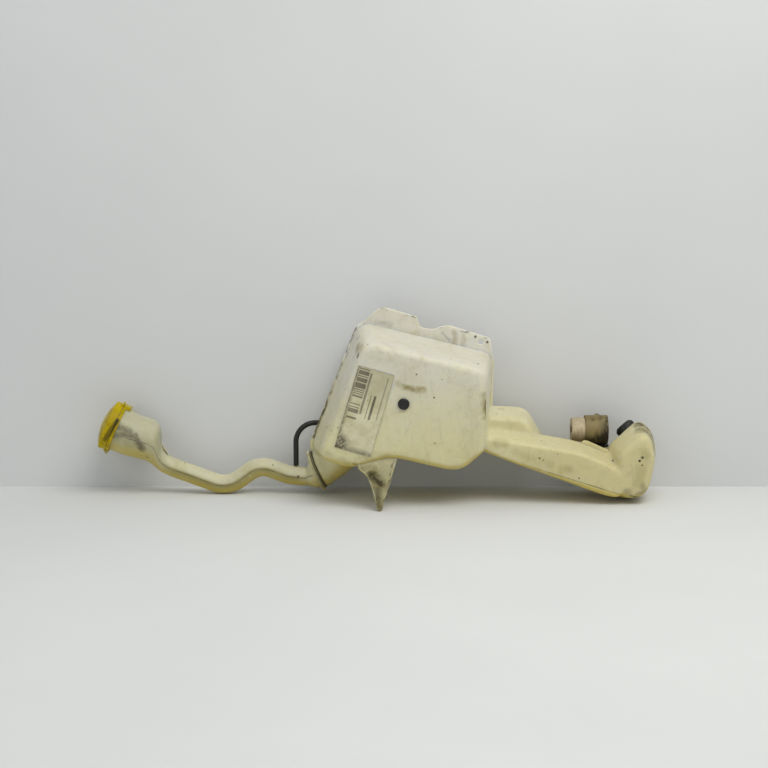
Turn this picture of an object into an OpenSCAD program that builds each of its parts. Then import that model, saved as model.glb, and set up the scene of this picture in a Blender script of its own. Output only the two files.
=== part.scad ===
// Washer fluid reservoir: blown tank, plugged-in filler pipe with hinged cap, pump and rubber fittings.
// Millimetres: +X runs along the object to the sump, +Y away from the front face, +Z up.

/* [Tank] */
// Depth of the tank in front of its parting plane
front_d = 85; // [78:1:92]
// Depth of the tank behind its parting plane
back_d = 28; // [24:1:32]
// Wall of the blown tank
wall = 2.5; // [2:0.1:3]
// Inset of the front face from the parting outline, which slopes the sides
draft = 11; // [8:0.5:13]
// Rounding along the edges of the front face
edge_r = 9; // [6:0.5:12]
// Height of the seam ridge round the parting outline
seam_h = 2; // [1:0.1:3]
// Thickness of the seam ridge
seam_t = 2.4; // [1.6:0.1:3]
// Thickness of the web that carries the two ears
web_t = 3.4; // [2.6:0.1:4.5]
// Bolt hole in the right ear
ear_bore = 7; // [5:0.1:8]
// Thickness of the locating foot under the front face
foot_t = 5; // [4:0.1:7]
// Forward lean of the locating foot in degrees
foot_lean = 13; // [8:0.5:16]

/* [Arm] */
// Depth of the arm in front of its own parting plane
arm_front = 40; // [34:1:44]
// Inset of the arm's front face from its widest outline
arm_draft = 7; // [5:0.5:8]
// Height of the shelf that carries the pump
shelf_z = 57; // [54:0.5:59]
// Depth of the sump behind the arm's parting plane
sump_back = 42; // [38:1:46]

/* [Filler pipe] */
// Outer diameter of the pipe
pipe_d = 22; // [19:0.5:24]
// Wall of the filler pipe
pipe_wall = 2; // [1.5:0.1:2.5]
// Radius of the low bend that rests on the floor
low_bend_r = 32; // [28:1:36]
// Radius of the other bends
bend_r = 26; // [22:1:30]
// Outer diameter of the filler cup
cup_d = 53; // [50:0.5:53.5]
// Radius of the bend along the cup
cup_bend_r = 83; // [78:1:90]
// Tilt of the mouth above horizontal in degrees
mouth_tilt = 24; // [20:0.5:28]
// Straight length of the cup behind its mouth
mouth_l = 12; // [11:0.5:14]
// Flange diameter where the pipe meets the tank
flange_d = 50; // [47:0.5:53]
// Thickness of that flange
flange_t = 3; // [2:0.1:4]
// Bore of the tank's socket for the pipe
socket_d = 40; // [37:0.5:41]
// Tilt of the socket below horizontal in degrees
socket_tilt = 24.5; // [22:0.5:27]

/* [Seal and hose] */
// Thickness of rubber between pipe and tank
seal_t = 2; // [1.5:0.1:2.5]
// Length of the seal's sleeve in the socket
seal_l = 7; // [5:0.5:9]
// Outer diameter of the breather hose
hose_d = 6.2; // [5.4:0.1:7.5]
// Outer diameter of the hose spigots
spigot_d = 3.6; // [3:0.1:4]
// Length of hose pushed over each spigot
spigot_l = 8; // [6:0.5:10]
// Radius of the hose's bend
hose_bend_r = 22; // [19:0.5:24]

/* [Cap] */
// Outer diameter of the lid
lid_d = 58.5; // [58:0.5:62]
// Wall of the lid
lid_t = 1.8; // [1.4:0.1:2.2]
// Length of the lid's skirt below the mouth
skirt_l = 4; // [3:0.1:5]
// Rise of the lid's dome above its rim
dome_h = 7; // [5:0.5:8]
// Thickness of the gasket in the lid
gasket_t = 2; // [1.5:0.1:2.5]
// Height of the collar round the cup
collar_h = 4; // [3:0.1:5]
// Diameter of the hinge pin
pin_d = 2.2; // [1.8:0.1:2.4]
// Width of the hinge's middle knuckle
knuckle_w = 10; // [8:0.5:14]

/* [Plugs and label] */
// Head diameter of the front plug
plug_d = 13; // [11:0.5:16]
// Hole for the front plug
plug_bore = 9; // [7:0.5:10]
// Head diameter of the sump plug
bung_d = 24; // [20:0.5:25]
// Hole for the sump plug
bung_bore = 12; // [10:0.5:13]
// Width of the label
label_w = 42; // [36:1:44]
// Length of the label
label_l = 97; // [80:1:99]
// Thickness of the label
label_t = 0.4; // [0.2:0.05:0.6]

/* [Pump] */
// Outer diameter of the pump housing
pump_d = 34; // [32.5:0.5:36]
// Outer diameter of the pump's end cap
end_cap_d = 28.5; // [27.5:0.5:31]
// Length of the pump's end cap
end_cap_l = 16; // [14:0.5:18]
// Depth of the plug socket in the end cap
plug_socket_l = 7; // [6:0.5:8]
// Bore of the impeller chamber
wet_d = 26; // [24:0.5:27]
// Length of the impeller chamber
wet_l = 4.6; // [4:0.1:5.5]
// Outer diameter of the inlet nipple
inlet_d = 10; // [8.5:0.1:11]
// Outer diameter of the outlet nozzle
outlet_d = 6; // [5:0.1:6.4]
// Reach of the outlet nozzle behind the pump axis
outlet_l = 32; // [26:1:34]
// Hole in the shelf for the grommet
grommet_bore = 15; // [13.5:0.1:16]
// Thickness of the grommet's outer flange
grommet_t = 2; // [1.5:0.1:3]

/* [Motor] */
// Outer diameter of the motor can
can_d = 24; // [22:0.1:25]
// Length of the motor can
can_l = 16; // [15:0.1:18]
// Wall of the motor can
can_t = 0.8; // [0.6:0.1:1]
// Diameter of the motor shaft
shaft_d = 2; // [1.8:0.1:2.3]
// Diameter of the armature
armature_d = 15; // [13:0.1:15.4]
// Diameter of the commutator
commutator_d = 6; // [5:0.1:6.6]
// Diameter of the impeller
impeller_d = 20; // [17:0.5:21]

/* [Hidden] */
$fn = 64;

// Clearances
fit = 0.1;
run_fit = 0.03;
gap = 0.4;
eps = 0.02;

// Place of the parting plane and of x = 0 in the part's frame
part_y = 32;
part_x = 3;

// Colours
plastic = [0.86, 0.85, 0.68];
yellow = [0.93, 0.8, 0.1];
rubber = [0.09, 0.09, 0.1];
beige = [0.62, 0.57, 0.48];
steel = [0.66, 0.67, 0.69];
copper = [0.72, 0.42, 0.22];

// Outlines in the X-Z plane, anticlockwise from the front: corners and how far each is blended
chamber_pts = [[-82, 52], [-30, 36], [16, 49], [96, 31], [124, 55], [131, 62], [134, 168], [-21.5, 206]];
chamber_bl = [16, 14, 12, 16, 10, 6, 12, 16];
arm_pts = [[100, 64], [166, 38.5], [258, 5.5], [282, 0], [298, 30], [275, 50], [236, 68], [100, 91.2]];
arm_bl = [6, 30, 14, 12, 8, 8, 16, 6];
sump_pts = [[274, 0], [303, 0], [318, 13], [326, 52], [320, 80], [303, 95], [267, 62]];
sump_bl = [10, 10, 12, 14, 12, 11, 8];
duct_pts = [[178, 38], [278, 3], [303, 3], [306, 30], [298, shelf_z], [178, shelf_z]];
duct_bl = [4, 12, 10, 10, 6, 4];
hump_pts = [[95, 66], [180, 42], [205, 49], [190, 78], [176, 107], [95, 107]];
hump_bl = [4, 12, 12, 16, 12, 4];
web_pts = [[-12, 186], [126, 152], [134, 166], [131, 186], [84, 201], [73, 200], [65, 196], [49, 199],
           [45, 212], [9, 222], [-2, 220], [-18, 202]];
web_bl = [1, 1, 4, 3, 6, 4, 5, 4, 3, 8, 6, 4];
foot_pts = [[-1, 0], [5, 0], [9.5, 24], [15, 47], [20, 72], [-12, 72], [-11.5, 38], [-7, 22]];
foot_bl = [2, 2, 8, 8, 2, 2, 10, 10];
rib_pts = [[234, 58], [272, 42], [274, 56], [246, 71], [239, 71]];
rib_bl = [1, 1, 3, 4, 3];

// Planes of the arm group, behind or in front of the tank's parting plane
arm_y = -25;
pump_room = 2;
arm_back = -(pump_d / 2 + pump_room) - arm_y;
back_inset = 15;

// Planes where the tank's shells and its right ear meet, and a length past every side
arm_cut_x = 140;
tank_cut_y = 2.6;
arm_cut_y = arm_y - 5;
ear_cut = [110, 176.5];
far = 400;

// Ear hole, foot and label on the front half
ear_hole = [120, 181.5];
foot_root = [-77, 66];
label_at = [-15, 113.5];
label_turn = 16.4;
plug_at = [29, 122];

// Socket for the filler pipe
socket_at = [-70, 29.5];
socket_wall = 3;
collar_l = 8;
socket_out_d = socket_d + 2 * socket_wall;
spigot_out_d = socket_d - 2 * seal_t - 2 * fit;
flange_z = seal_t;

// Breather hose route
hose_x = -97;
hose_z = 84;
hose_turn = 15;
left_wall_slope = (chamber_pts[7][0] - chamber_pts[0][0]) / (chamber_pts[7][1] - chamber_pts[0][1]);
left_wall_x = chamber_pts[0][0] + left_wall_slope * (hose_z - chamber_pts[0][1]);
hose_run = (left_wall_x - hose_x) / cos(hose_turn);
hose_bore = spigot_d + 2 * fit;

// Filler pipe route from the cup to the flange
cup_at = [-269, 69.5];
pipe_start = [-247, 33];
crest = [-140, 35];
dip = [-106, 22.5];
pipe_end = [-86, 20.5];
low_x = -178;
low_half = (atan2(pipe_start[1] - pipe_d / 2, low_x - pipe_start[0])
          + atan2(crest[1] - pipe_d / 2, crest[0] - low_x)) / 2;
low_pt = [low_x, pipe_d / 2 - low_bend_r * (1 / cos(low_half) - 1)];
pipe_pts = [pipe_start, low_pt, crest, dip, pipe_end];
pipe_bends = [0, low_bend_r, bend_r, 1.5 * bend_r, 0];
throat_knee = cup_at + [7, -9];
flare_d = spigot_out_d + 5;
bend_steps = 4;
mouth_lap = 2;

// Mouth, cap and hinge
bend_top = cup_at + [-cup_bend_r * sin(mouth_tilt), cup_bend_r * (1 - cos(mouth_tilt))];
mouth_at = bend_top + mouth_l * [-cos(mouth_tilt), sin(mouth_tilt)];
mouth_d = cup_d + 0.3;
bead_h = 4;
bead_d = cup_d + 2;
skirt_in_r = bead_d / 2 + gap;
collar_out_d = lid_d - 0.5;
collar_z = -bead_h - gap - collar_h;
lid_rim_h = gap + gasket_t + lid_t;
hinge_x = -lid_d / 2;
hinge_z = collar_z + collar_h / 2;
knuckle_d = pin_d + 2;
side_knuckle_w = 5;
side_knuckle_y = knuckle_w / 2 + gap + side_knuckle_w / 2;
knuckle_web_t = 2.4;
tab_w = 14;
tab_t = 5;
lip_w = 18;
lip_t = 2.4;
lip_reach = 1.5;

// Pump stack along its axis, from the plug end
plug_floor_t = 2;
bell_t = 3;
seat_t = 2.5;
plate_t = 1.2;
suction_l = 3.4;
cover_t = 1.6;
bell_z = plug_socket_l + plug_floor_t + 1;
can_z = bell_z + bell_t;
seat_z = can_z + can_l;
wet_z = seat_z + seat_t;
plate_z = wet_z + wet_l;
suction_z = plate_z + plate_t;
cover_z = suction_z + suction_l;
pump_l = cover_z + cover_t;
plate_d = wet_d + 2;
cover_wall = 1.6;
inlet_z = suction_z + suction_l / 2 - 3;
inlet_bore = 0.6 * inlet_d;
outlet_bore = 0.5 * outlet_d;
outlet_off = wet_d / 2 - outlet_d / 2 + 0.6;
outlet_seat_d = outlet_d + 3;
outlet_seat_l = pump_d / 2 + 0.5;
boss_d = grommet_bore + 9;
boss_t = 5;
boss_z = shelf_z;
inlet_x = 263.5;
pump_x = inlet_x - inlet_z;
pump_z = boss_z + grommet_t + 1 + pump_d / 2;

// Sump plug on the slanted wall
bung_at = [293, 77];
bung_tilt = 42;
bung_lean = 19;
bung_head = 7;
bung_grip = 4;
bung_boss = 12;

// Motor inside
bush_d = 5;
seal_d = 8;
seal_h = 1.2;
magnet_gap = 0.6;
can_in_d = can_d - 2 * can_t;
commutator_z = can_z + 0.6;
commutator_l = 3;
core_z = commutator_z + commutator_l + 1.4;
core_l = can_l - 10;
end_turn = 1;
impeller_z = wet_z + 0.6;
impeller_l = wet_l - 1.2;
shaft_z = bell_z + 0.4;
shaft_l = impeller_z + impeller_l - shaft_z;
poles = 3;
vanes = 6;

// Rounded outlines and lofts
function lerp(a, b, t) = a + (b - a) * t;
function unit(v) = v / norm(v);
function blend(a, b, c, r, n) =
    let (p = b + unit(a - b) * min(r, norm(a - b) / 2.1), q = b + unit(c - b) * min(r, norm(c - b) / 2.1))
    [for (i = [0 : n]) let (t = i / n) lerp(lerp(p, b, t), lerp(b, q, t), t)];
function rounded(pts, bl, n = 3) =
    let (k = len(pts))
        [for (i = [0 : k - 1]) each blend(pts[(i + k - 1) % k], pts[i], pts[(i + 1) % k], bl[i], n)];
function left(v) = [-v[1], v[0]] / norm(v);
function inset(pts, d) =
    let (k = len(pts))
    [for (i = [0 : k - 1])
        let (m = left(pts[i] - pts[(i + k - 1) % k]), n = left(pts[(i + 1) % k] - pts[i]))
        pts[i] + d * (m + n) / (1 + m * n)];

// Solid through rings of points that all have the same count, front ring first
module skin(rings) {
    n = len(rings[0]);
    k = len(rings);
    mids = [for (r = [rings[0], rings[k - 1]])
        [for (c = [0 : 2]) [for (p = r) p[c]] * [for (p = r) 1 / n]]];
    sides = [for (j = [0 : k - 2], i = [0 : n - 1], h = [0, 1])
        let (a = j * n + i, b = j * n + (i + 1) % n)
        h == 0 ? [a, b, b + n] : [a, b + n, a + n]];
    caps = [for (i = [0 : n - 1], h = [0, 1])
        let (a = i, b = (i + 1) % n, e = (k - 1) * n)
        h == 0 ? [k * n, b, a] : [k * n + 1, a + e, b + e]];
    polyhedron(points = concat([for (r = rings, p = r) p], mids), faces = concat(sides, caps));
}

// Blown body: an outline at plane y0 that slopes in to the front and back, with rounded edges
module blown(pts, bl, y0, front, back, slope_f, slope_b, r_f, r_b, shrink = 0) {
    turns = shrink > 0 ? [0, 90] : [0, 45, 90];
    points = shrink > 0 ? 2 : 3;
    f = front - shrink;
    b = back - shrink;
    rf = max(r_f - shrink, 1);
    rb = max(r_b - shrink, 1);
    front_rings = [for (i = [len(turns) - 1 : -1 : 0])
        [y0 - f + rf * (1 - sin(turns[i])), slope_f * (f - rf) / front + 0.9 * rf * (1 - cos(turns[i]))]];
    back_rings = [for (t = turns)
        [y0 + b - rb * (1 - sin(t)), slope_b * (b - rb) / back + 0.9 * rb * (1 - cos(t))]];
    skin([for (s = concat(front_rings, [[y0, 0]], back_rings))
        [for (p = rounded(inset(pts, s[1] + shrink), bl, points)) [p[0], s[0], p[1]]]]);
}

// Bodies that flow into each other as one skin
module one_skin() {
    resize([0, 0, 0])
        children();
}

// Flat plate with an outline in the X-Z plane, its back face at y
module plate(pts, bl, y, t) {
    translate([0, y, 0])
        rotate([90, 0, 0])
            linear_extrude(t)
                polygon(rounded(pts, bl));
}

// Frames
module placed() {
    translate([part_x, part_y, 0])
        children();
}
module at_socket() {
    translate([socket_at[0], 0, socket_at[1]])
        rotate([0, -90 - socket_tilt, 0])
            children();
}
module at_mouth() {
    translate([mouth_at[0], 0, mouth_at[1]])
        rotate([0, mouth_tilt - 90, 0])
            children();
}
module at_pump() {
    translate([pump_x, 0, pump_z])
        rotate([0, 90, 0])
            children();
}
module at_bung() {
    translate([bung_at[0], 0, bung_at[1]])
        rotate([0, -bung_tilt, 0])
            rotate([-bung_lean, 0, 0])
                children();
}
module at_hose() {
    translate([hose_x, 0, 0])
        rotate([0, 0, hose_turn])
            children();
}
module from_front() {
    rotate([90, 0, 0])
        children();
}

// Ring and tube shapes
module tube(d, bore, h) {
    difference() {
        cylinder(d = d, h = h);
        translate([0, 0, -eps])
            cylinder(d = bore, h = h + 2 * eps);
    }
}
module rod(a, b, d) {
    v = b - a;
    translate([a[0], 0, a[1]])
        rotate([0, 90 - atan2(v[1], v[0]), 0])
            cylinder(d = d, h = norm(v));
}

// Pipe along points in the X-Z plane, with a round bend at each inner point
module run(pts, bends, d, over = 0) {
    k = len(pts) - 1;
    dirs = [for (i = [0 : k - 1]) unit(pts[i + 1] - pts[i])];
    turns = [for (i = [1 : k - 1]) atan2(dirs[i - 1][0] * dirs[i][1] - dirs[i - 1][1] * dirs[i][0],
                                         dirs[i - 1] * dirs[i])];
    trims = [for (i = [0 : k]) i == 0 || i == k ? -over : bends[i] * tan(abs(turns[i - 1]) / 2)];
    for (i = [0 : k - 1])
        rod(pts[i] + dirs[i] * trims[i], pts[i + 1] - dirs[i] * trims[i + 1], d);
    for (i = [1 : k - 1]) {
        side = sign(turns[i - 1]);
        start = pts[i] - dirs[i - 1] * trims[i];
        mid = start + side * left(dirs[i - 1]) * bends[i];
        first = side > 0 ? start - mid : pts[i] + dirs[i] * trims[i] - mid;
        translate([mid[0], 0, mid[1]])
            from_front()
                rotate([0, 0, atan2(first[1], first[0])])
                    rotate_extrude(angle = abs(turns[i - 1]))
                        translate([bends[i], 0])
                            circle(d = d);
    }
}

// Tank bodies, drawn at full size or shrunk by the wall
module chamber(shrink) {
    blown(chamber_pts, chamber_bl, 0, front_d, back_d, draft, draft / 3, edge_r, edge_r / 2, shrink);
}
module arm(shrink) {
    blown(arm_pts, arm_bl, arm_y, arm_front, arm_back, arm_draft, 1, 5, 2, shrink);
}
module sump(shrink) {
    blown(sump_pts, sump_bl, arm_y + 1, arm_front, sump_back, 1.25 * arm_draft, back_inset, 7, 6, shrink);
}
module duct(shrink) {
    blown(duct_pts, duct_bl, -12, 28, 30, 4, 3, 4, 5, shrink);
}
module hump(shrink) {
    blown(hump_pts, hump_bl, 1, 36, 24, 8, 4, 8, 8, shrink);
}

// Funnel from the round socket up into the chamber's lower corner
module socket_lobe(shrink) {
    n = 32;
    r0 = socket_out_d / 2 - 1.4 - shrink;
    axis = [cos(socket_tilt), 0, sin(socket_tilt)];
    up = [-sin(socket_tilt), 0, cos(socket_tilt)];
    start = [socket_at[0], 0, socket_at[1]] + 3 * axis;
    top = [-29.4, -27.3, 84.6];
    half = [37, 42] - shrink * [1, 1];
    skin([for (j = [0 : 6]) let (t = j / 6)
        [for (i = [0 : n - 1])
            let (a = 360 * i / n, p = start + r0 * (cos(a) * up + sin(a) * [0, 1, 0]),
                 q = top + [-half[0] * cos(a), half[1] * sin(a), 0], m = p + 34 * axis)
            lerp(lerp(p, m, t), lerp(m, q, t), t)]]);
}

// Locating foot: a leaning tapered plate with a rib behind it
module foot() {
    reach = foot_root[1] / cos(foot_lean);
    translate([0, foot_root[0], foot_root[1]])
        rotate([-foot_lean, 0, 0])
            translate([0, 0, -reach + foot_t / 2 * tan(foot_lean)])
                plate(foot_pts, foot_bl, foot_t / 2, foot_t);
    translate([2, 0, 0])
        rotate([90, 0, 90])
            linear_extrude(foot_t - 1)
                polygon([[-88, 16], [-70, 66], [-44, 66]]);
}

module tank_body() {
    difference() {
        union() {
            one_skin() {
                chamber(0);
                arm(0);
                sump(0);
                duct(0);
                hump(0);
                socket_lobe(0);
                plate(inset(chamber_pts, -seam_h), chamber_bl, seam_t / 2, seam_t);
                plate(web_pts, web_bl, web_t / 2, web_t);
                plate(rib_pts, rib_bl, arm_y + 1, 4);
                foot();
            }
            at_socket()
                translate([0, 0, -collar_l])
                    cylinder(d = socket_out_d, h = collar_l);
            translate([inlet_x, 0, boss_z - boss_t])
                cylinder(d = boss_d, h = boss_t);
            at_bung()
                translate([0, 0, -bung_boss])
                    cylinder(d = bung_d - 1, h = bung_boss);
            at_hose()
                translate([hose_run - spigot_l, 0, hose_z])
                    rotate([0, 90, 0])
                        cylinder(d = spigot_d, h = spigot_l + 3);
        }
        chamber(wall);
        arm(wall);
        sump(wall);
        duct(wall);
        hump(wall);
        socket_lobe(wall);
        at_socket()
            translate([0, 0, -collar_l - 8])
                cylinder(d = socket_d, h = collar_l + 9);
        translate([plug_at[0], -front_d + wall + 2, plug_at[1]])
            from_front()
                cylinder(d = plug_bore, h = wall + 3);
        translate([ear_hole[0], web_t, ear_hole[1]])
            from_front()
                cylinder(d = ear_bore, h = 2 * web_t);
        translate([inlet_x, 0, boss_z - boss_t - 2])
            cylinder(d = grommet_bore, h = boss_t + 4);
        at_bung() {
            translate([0, 0, -bung_boss])
                cylinder(d = bung_bore, h = bung_boss + 1);
            translate([0, 0, -bung_boss - 6])
                cylinder(d = bung_bore + 6, h = bung_boss + 6 - bung_grip);
        }
        at_hose()
            translate([hose_run - spigot_l - 1, 0, hose_z])
                rotate([0, 90, 0])
                    cylinder(d = spigot_d - 1.6, h = spigot_l + 8);
    }
}

// Four shells of the tank and its right ear, which meet face to face
module shell(low, high) {
    color(plastic) placed() intersection() {
        tank_body();
        translate(low)
            cube(high - low);
    }
}
module ear_box() {
    translate([ear_cut[0], -far, ear_cut[1]])
        cube(2 * far);
}
module tank_front() {
    color(plastic) difference() {
        shell([-far, -far, -far], [arm_cut_x, tank_cut_y, far]);
        placed() ear_box();
    }
}
module mount_ear() {
    shell([ear_cut[0], -far, ear_cut[1]], [arm_cut_x, tank_cut_y, far]);
}
module tank_back() {
    shell([-far, tank_cut_y, -far], [arm_cut_x, far, far]);
}
module arm_front() {
    shell([arm_cut_x, -far, -far], [far, arm_cut_y, far]);
}
module arm_back() {
    shell([arm_cut_x, arm_cut_y, -far], [far, far, far]);
}

// Round section of a sweep in the X-Z plane: centre, direction in degrees and radius
function section(c, dir, r, n) =
    [for (i = [0 : n - 1]) let (a = 360 * i / n)
        [c[0] - r * sin(a) * sin(dir), -r * cos(a), c[1] + r * sin(a) * cos(dir)]];
function heading(v) = atan2(v[1], v[0]);
function curve(a, b, c, t) = lerp(lerp(a, b, t), lerp(b, c, t), t);
function ease(t) = (1 - cos(180 * t)) / 2;

// Stations of the filler pipe as centre, direction and radius: cup, throat, bends and flare
cup_stations = [for (i = [0 : 4]) let (a = mouth_tilt * (1 - i / 4))
    [cup_at + cup_bend_r * [-sin(a), 1 - cos(a)], -a, cup_d / 2]];
pipe_dirs = [for (i = [0 : 3]) heading(pipe_pts[i + 1] - pipe_pts[i])];
throat_stations = [for (t = [0.25, 0.5, 0.75, 1])
    [curve(cup_at, throat_knee, pipe_start, t), pipe_dirs[0] * t, lerp(cup_d, pipe_d, ease(t)) / 2]];
bend_stations = [for (i = [1 : 3], j = [0 : bend_steps])
    let (turn = pipe_dirs[i] - pipe_dirs[i - 1], side = sign(turn),
         dir = pipe_dirs[i - 1] + turn * j / bend_steps,
         from = pipe_pts[i] - unit(pipe_pts[i] - pipe_pts[i - 1]) * pipe_bends[i] * tan(abs(turn) / 2),
         mid = from + side * pipe_bends[i] * [-sin(pipe_dirs[i - 1]), cos(pipe_dirs[i - 1])])
    [mid + side * pipe_bends[i] * [sin(dir), -cos(dir)], dir, pipe_d / 2]];
flare_end = socket_at - (flange_z + 1) * [cos(socket_tilt), sin(socket_tilt)];
flare_stations = [for (t = [0, 0.35, 0.7, 1])
    [lerp(pipe_end, flare_end, t), lerp(pipe_dirs[3], socket_tilt, t), lerp(pipe_d, flare_d, ease(t)) / 2]];
neck_stations = concat(cup_stations, throat_stations, bend_stations, flare_stations);

// Filler pipe at full size or shrunk by its wall
module neck_volume(shrink) {
    sides = shrink > 0 ? 20 : 28;
    skin([for (s = neck_stations) section(s[0], s[1], s[2] - shrink, sides)]);
}

module filler_neck() {
    color(plastic) placed() difference() {
        union() {
            neck_volume(0);
            at_mouth() {
                translate([0, 0, -mouth_l - mouth_lap])
                    cylinder(d = mouth_d, h = mouth_l + mouth_lap);
                translate([0, 0, -bead_h])
                    cylinder(d = bead_d, h = bead_h);
            }
            at_socket() {
                translate([0, 0, flange_z])
                    cylinder(d = flange_d, h = flange_t);
                translate([0, 0, -seal_l - 2])
                    cylinder(d = spigot_out_d, h = seal_l + 3 + flange_z);
            }
            translate([hose_x, 0, dip[1]])
                cylinder(d = spigot_d, h = pipe_d / 2 + spigot_l);
        }
        neck_volume(pipe_wall);
        at_mouth()
            translate([0, 0, -mouth_l - mouth_lap - 1])
                cylinder(d = cup_d - 2 * pipe_wall - 0.6, h = mouth_l + mouth_lap + 2);
        at_socket()
            translate([0, 0, -seal_l - 3])
                cylinder(d = spigot_out_d - 2 * pipe_wall, h = seal_l + 5 + flange_z);
        translate([hose_x, 0, dip[1]])
            cylinder(d = spigot_d - 1.6, h = pipe_d / 2 + spigot_l + 1);
    }
}

// T-shaped rubber ring between the pipe's flange and the tank's socket
module neck_seal() {
    color(rubber) placed() at_socket() difference() {
        union() {
            cylinder(d = socket_out_d + 1, h = seal_t);
            translate([0, 0, -seal_l])
                cylinder(d = socket_d - 2 * fit, h = seal_l + eps);
        }
        translate([0, 0, -seal_l - 1])
            cylinder(d = spigot_out_d + 2 * fit, h = seal_l + seal_t + 2);
    }
}

// Knuckle of the hinge, centred on its axis along Y, and the hole for its pin
module knuckle(w, y) {
    translate([hinge_x, y + w / 2, hinge_z])
        from_front()
            cylinder(d = knuckle_d, h = w);
}
module pin_hole() {
    translate([hinge_x, lid_d / 2, hinge_z])
        from_front()
            cylinder(d = pin_d + 2 * fit, h = lid_d);
}

// Split ring below the bead, with two knuckles at the split and a tab across from it
module cap_collar() {
    slot_w = knuckle_w + 2 * gap;
    color(yellow) placed() at_mouth() difference() {
        union() {
            translate([0, 0, collar_z])
                cylinder(d = collar_out_d, h = collar_h);
            for (y = [-side_knuckle_y, side_knuckle_y])
                knuckle(side_knuckle_w, y);
            translate([lid_d / 2 - tab_t, -tab_w / 2, collar_z - tab_t])
                cube([tab_t, tab_w, collar_h + tab_t]);
        }
        translate([0, 0, -mouth_l - tab_t])
            cylinder(d = mouth_d + 2 * fit, h = mouth_l + tab_t);
        translate([hinge_x - knuckle_d, -slot_w / 2, collar_z - 1])
            cube([2 * knuckle_d, slot_w, collar_h + 2]);
        pin_hole();
    }
}

// Domed lid with a skirt over the bead, a lift lip on top and the middle knuckle below
module cap_lid() {
    r = lid_d / 2;
    dome_r = (r * r + dome_h * dome_h) / (2 * dome_h);
    rim = lid_rim_h + gap;
    color(yellow) placed() at_mouth() difference() {
        union() {
            translate([0, 0, -skirt_l])
                cylinder(d = lid_d, h = skirt_l + rim);
            intersection() {
                translate([0, 0, rim + dome_h - dome_r])
                    sphere(r = dome_r);
                translate([0, 0, rim - eps])
                    cylinder(r = r, h = dome_h + 1);
            }
            translate([r - 2, -lip_w / 2, -skirt_l])
                cube([2 + lip_reach, lip_w, lip_t]);
            knuckle(knuckle_w, 0);
            translate([hinge_x - knuckle_web_t / 2, -knuckle_w / 2, hinge_z])
                cube([knuckle_web_t, knuckle_w, 2 - skirt_l - hinge_z]);
        }
        translate([0, 0, -skirt_l - eps])
            cylinder(r = skirt_in_r, h = skirt_l + lid_rim_h - lid_t + eps);
        intersection() {
            translate([0, 0, rim + dome_h - dome_r])
                sphere(r = dome_r - lid_t);
            translate([0, 0, lid_rim_h - lid_t - eps])
                cylinder(r = skirt_in_r - 5, h = dome_h + 6);
        }
        pin_hole();
    }
}

module cap_gasket() {
    color(rubber) placed() at_mouth()
        translate([0, 0, gap])
            tube(2 * skirt_in_r - 2 * fit, 2 * skirt_in_r - 11, gasket_t);
}

module hinge_pin() {
    reach = side_knuckle_y + side_knuckle_w / 2;
    color(steel) placed() at_mouth()
        translate([hinge_x, reach, hinge_z])
            from_front()
                cylinder(d = pin_d, h = 2 * reach);
}

// Hose from the pipe's spigot up and over to the spigot on the tank's left wall
module breather_hose() {
    foot_z = dip[1] + pipe_d / 2 + 0.4;
    color(rubber) placed() at_hose() difference() {
        hose_route(foot_z, hose_d, 0);
        hose_route(foot_z, hose_bore, 1);
    }
}
module hose_route(z0, d, over) {
    run([[0, z0], [0, hose_z], [hose_run - 0.6, hose_z]], [0, hose_bend_r, 0], d, over);
}

// Push-in rubber plug: head, stem and the lip behind the wall, along +Z from the wall's outer face
module push_plug(head_d, head_h, bore, grip) {
    rotate_extrude()
        polygon([[0, -grip - 2.5], [bore / 2 - 1, -grip - 2.5], [bore / 2 + 0.9, -grip - 0.3],
                 [bore / 2 - fit, -grip - 0.3], [bore / 2 - fit, 0], [head_d / 2, 0],
                 [head_d / 2, 0.6 * head_h], [head_d / 2 - 0.4 * head_h, head_h], [0, head_h]]);
}
module front_plug() {
    color(rubber) placed()
        translate([plug_at[0], -front_d, plug_at[1]])
            from_front()
                push_plug(plug_d, 3, plug_bore, wall);
}
module sump_plug() {
    color(rubber) placed() at_bung()
        push_plug(bung_d, bung_head, bung_bore, bung_grip);
}

module label() {
    color([0.85, 0.85, 0.8]) placed()
        translate([label_at[0], -front_d, label_at[1]])
            rotate([0, label_turn, 0])
                translate([-label_w / 2, -label_t, -label_l / 2])
                    cube([label_w, label_t, label_l]);
}

// Grommet in the shelf, round the pump's inlet nipple
module pump_grommet() {
    d = grommet_bore;
    color(rubber) placed()
        translate([inlet_x, 0, boss_z])
            rotate_extrude()
                polygon([[inlet_d / 2 + fit, grommet_t], [inlet_d / 2 + fit, -boss_t - 3],
                         [d / 2 - 0.5, -boss_t - 3], [d / 2 + 1.2, -boss_t - 0.3],
                         [d / 2 - fit, -boss_t - 0.3], [d / 2 - fit, 0], [d / 2 + 1.2, 0],
                         [d / 2 + 1.2, grommet_t]]);
}

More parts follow.
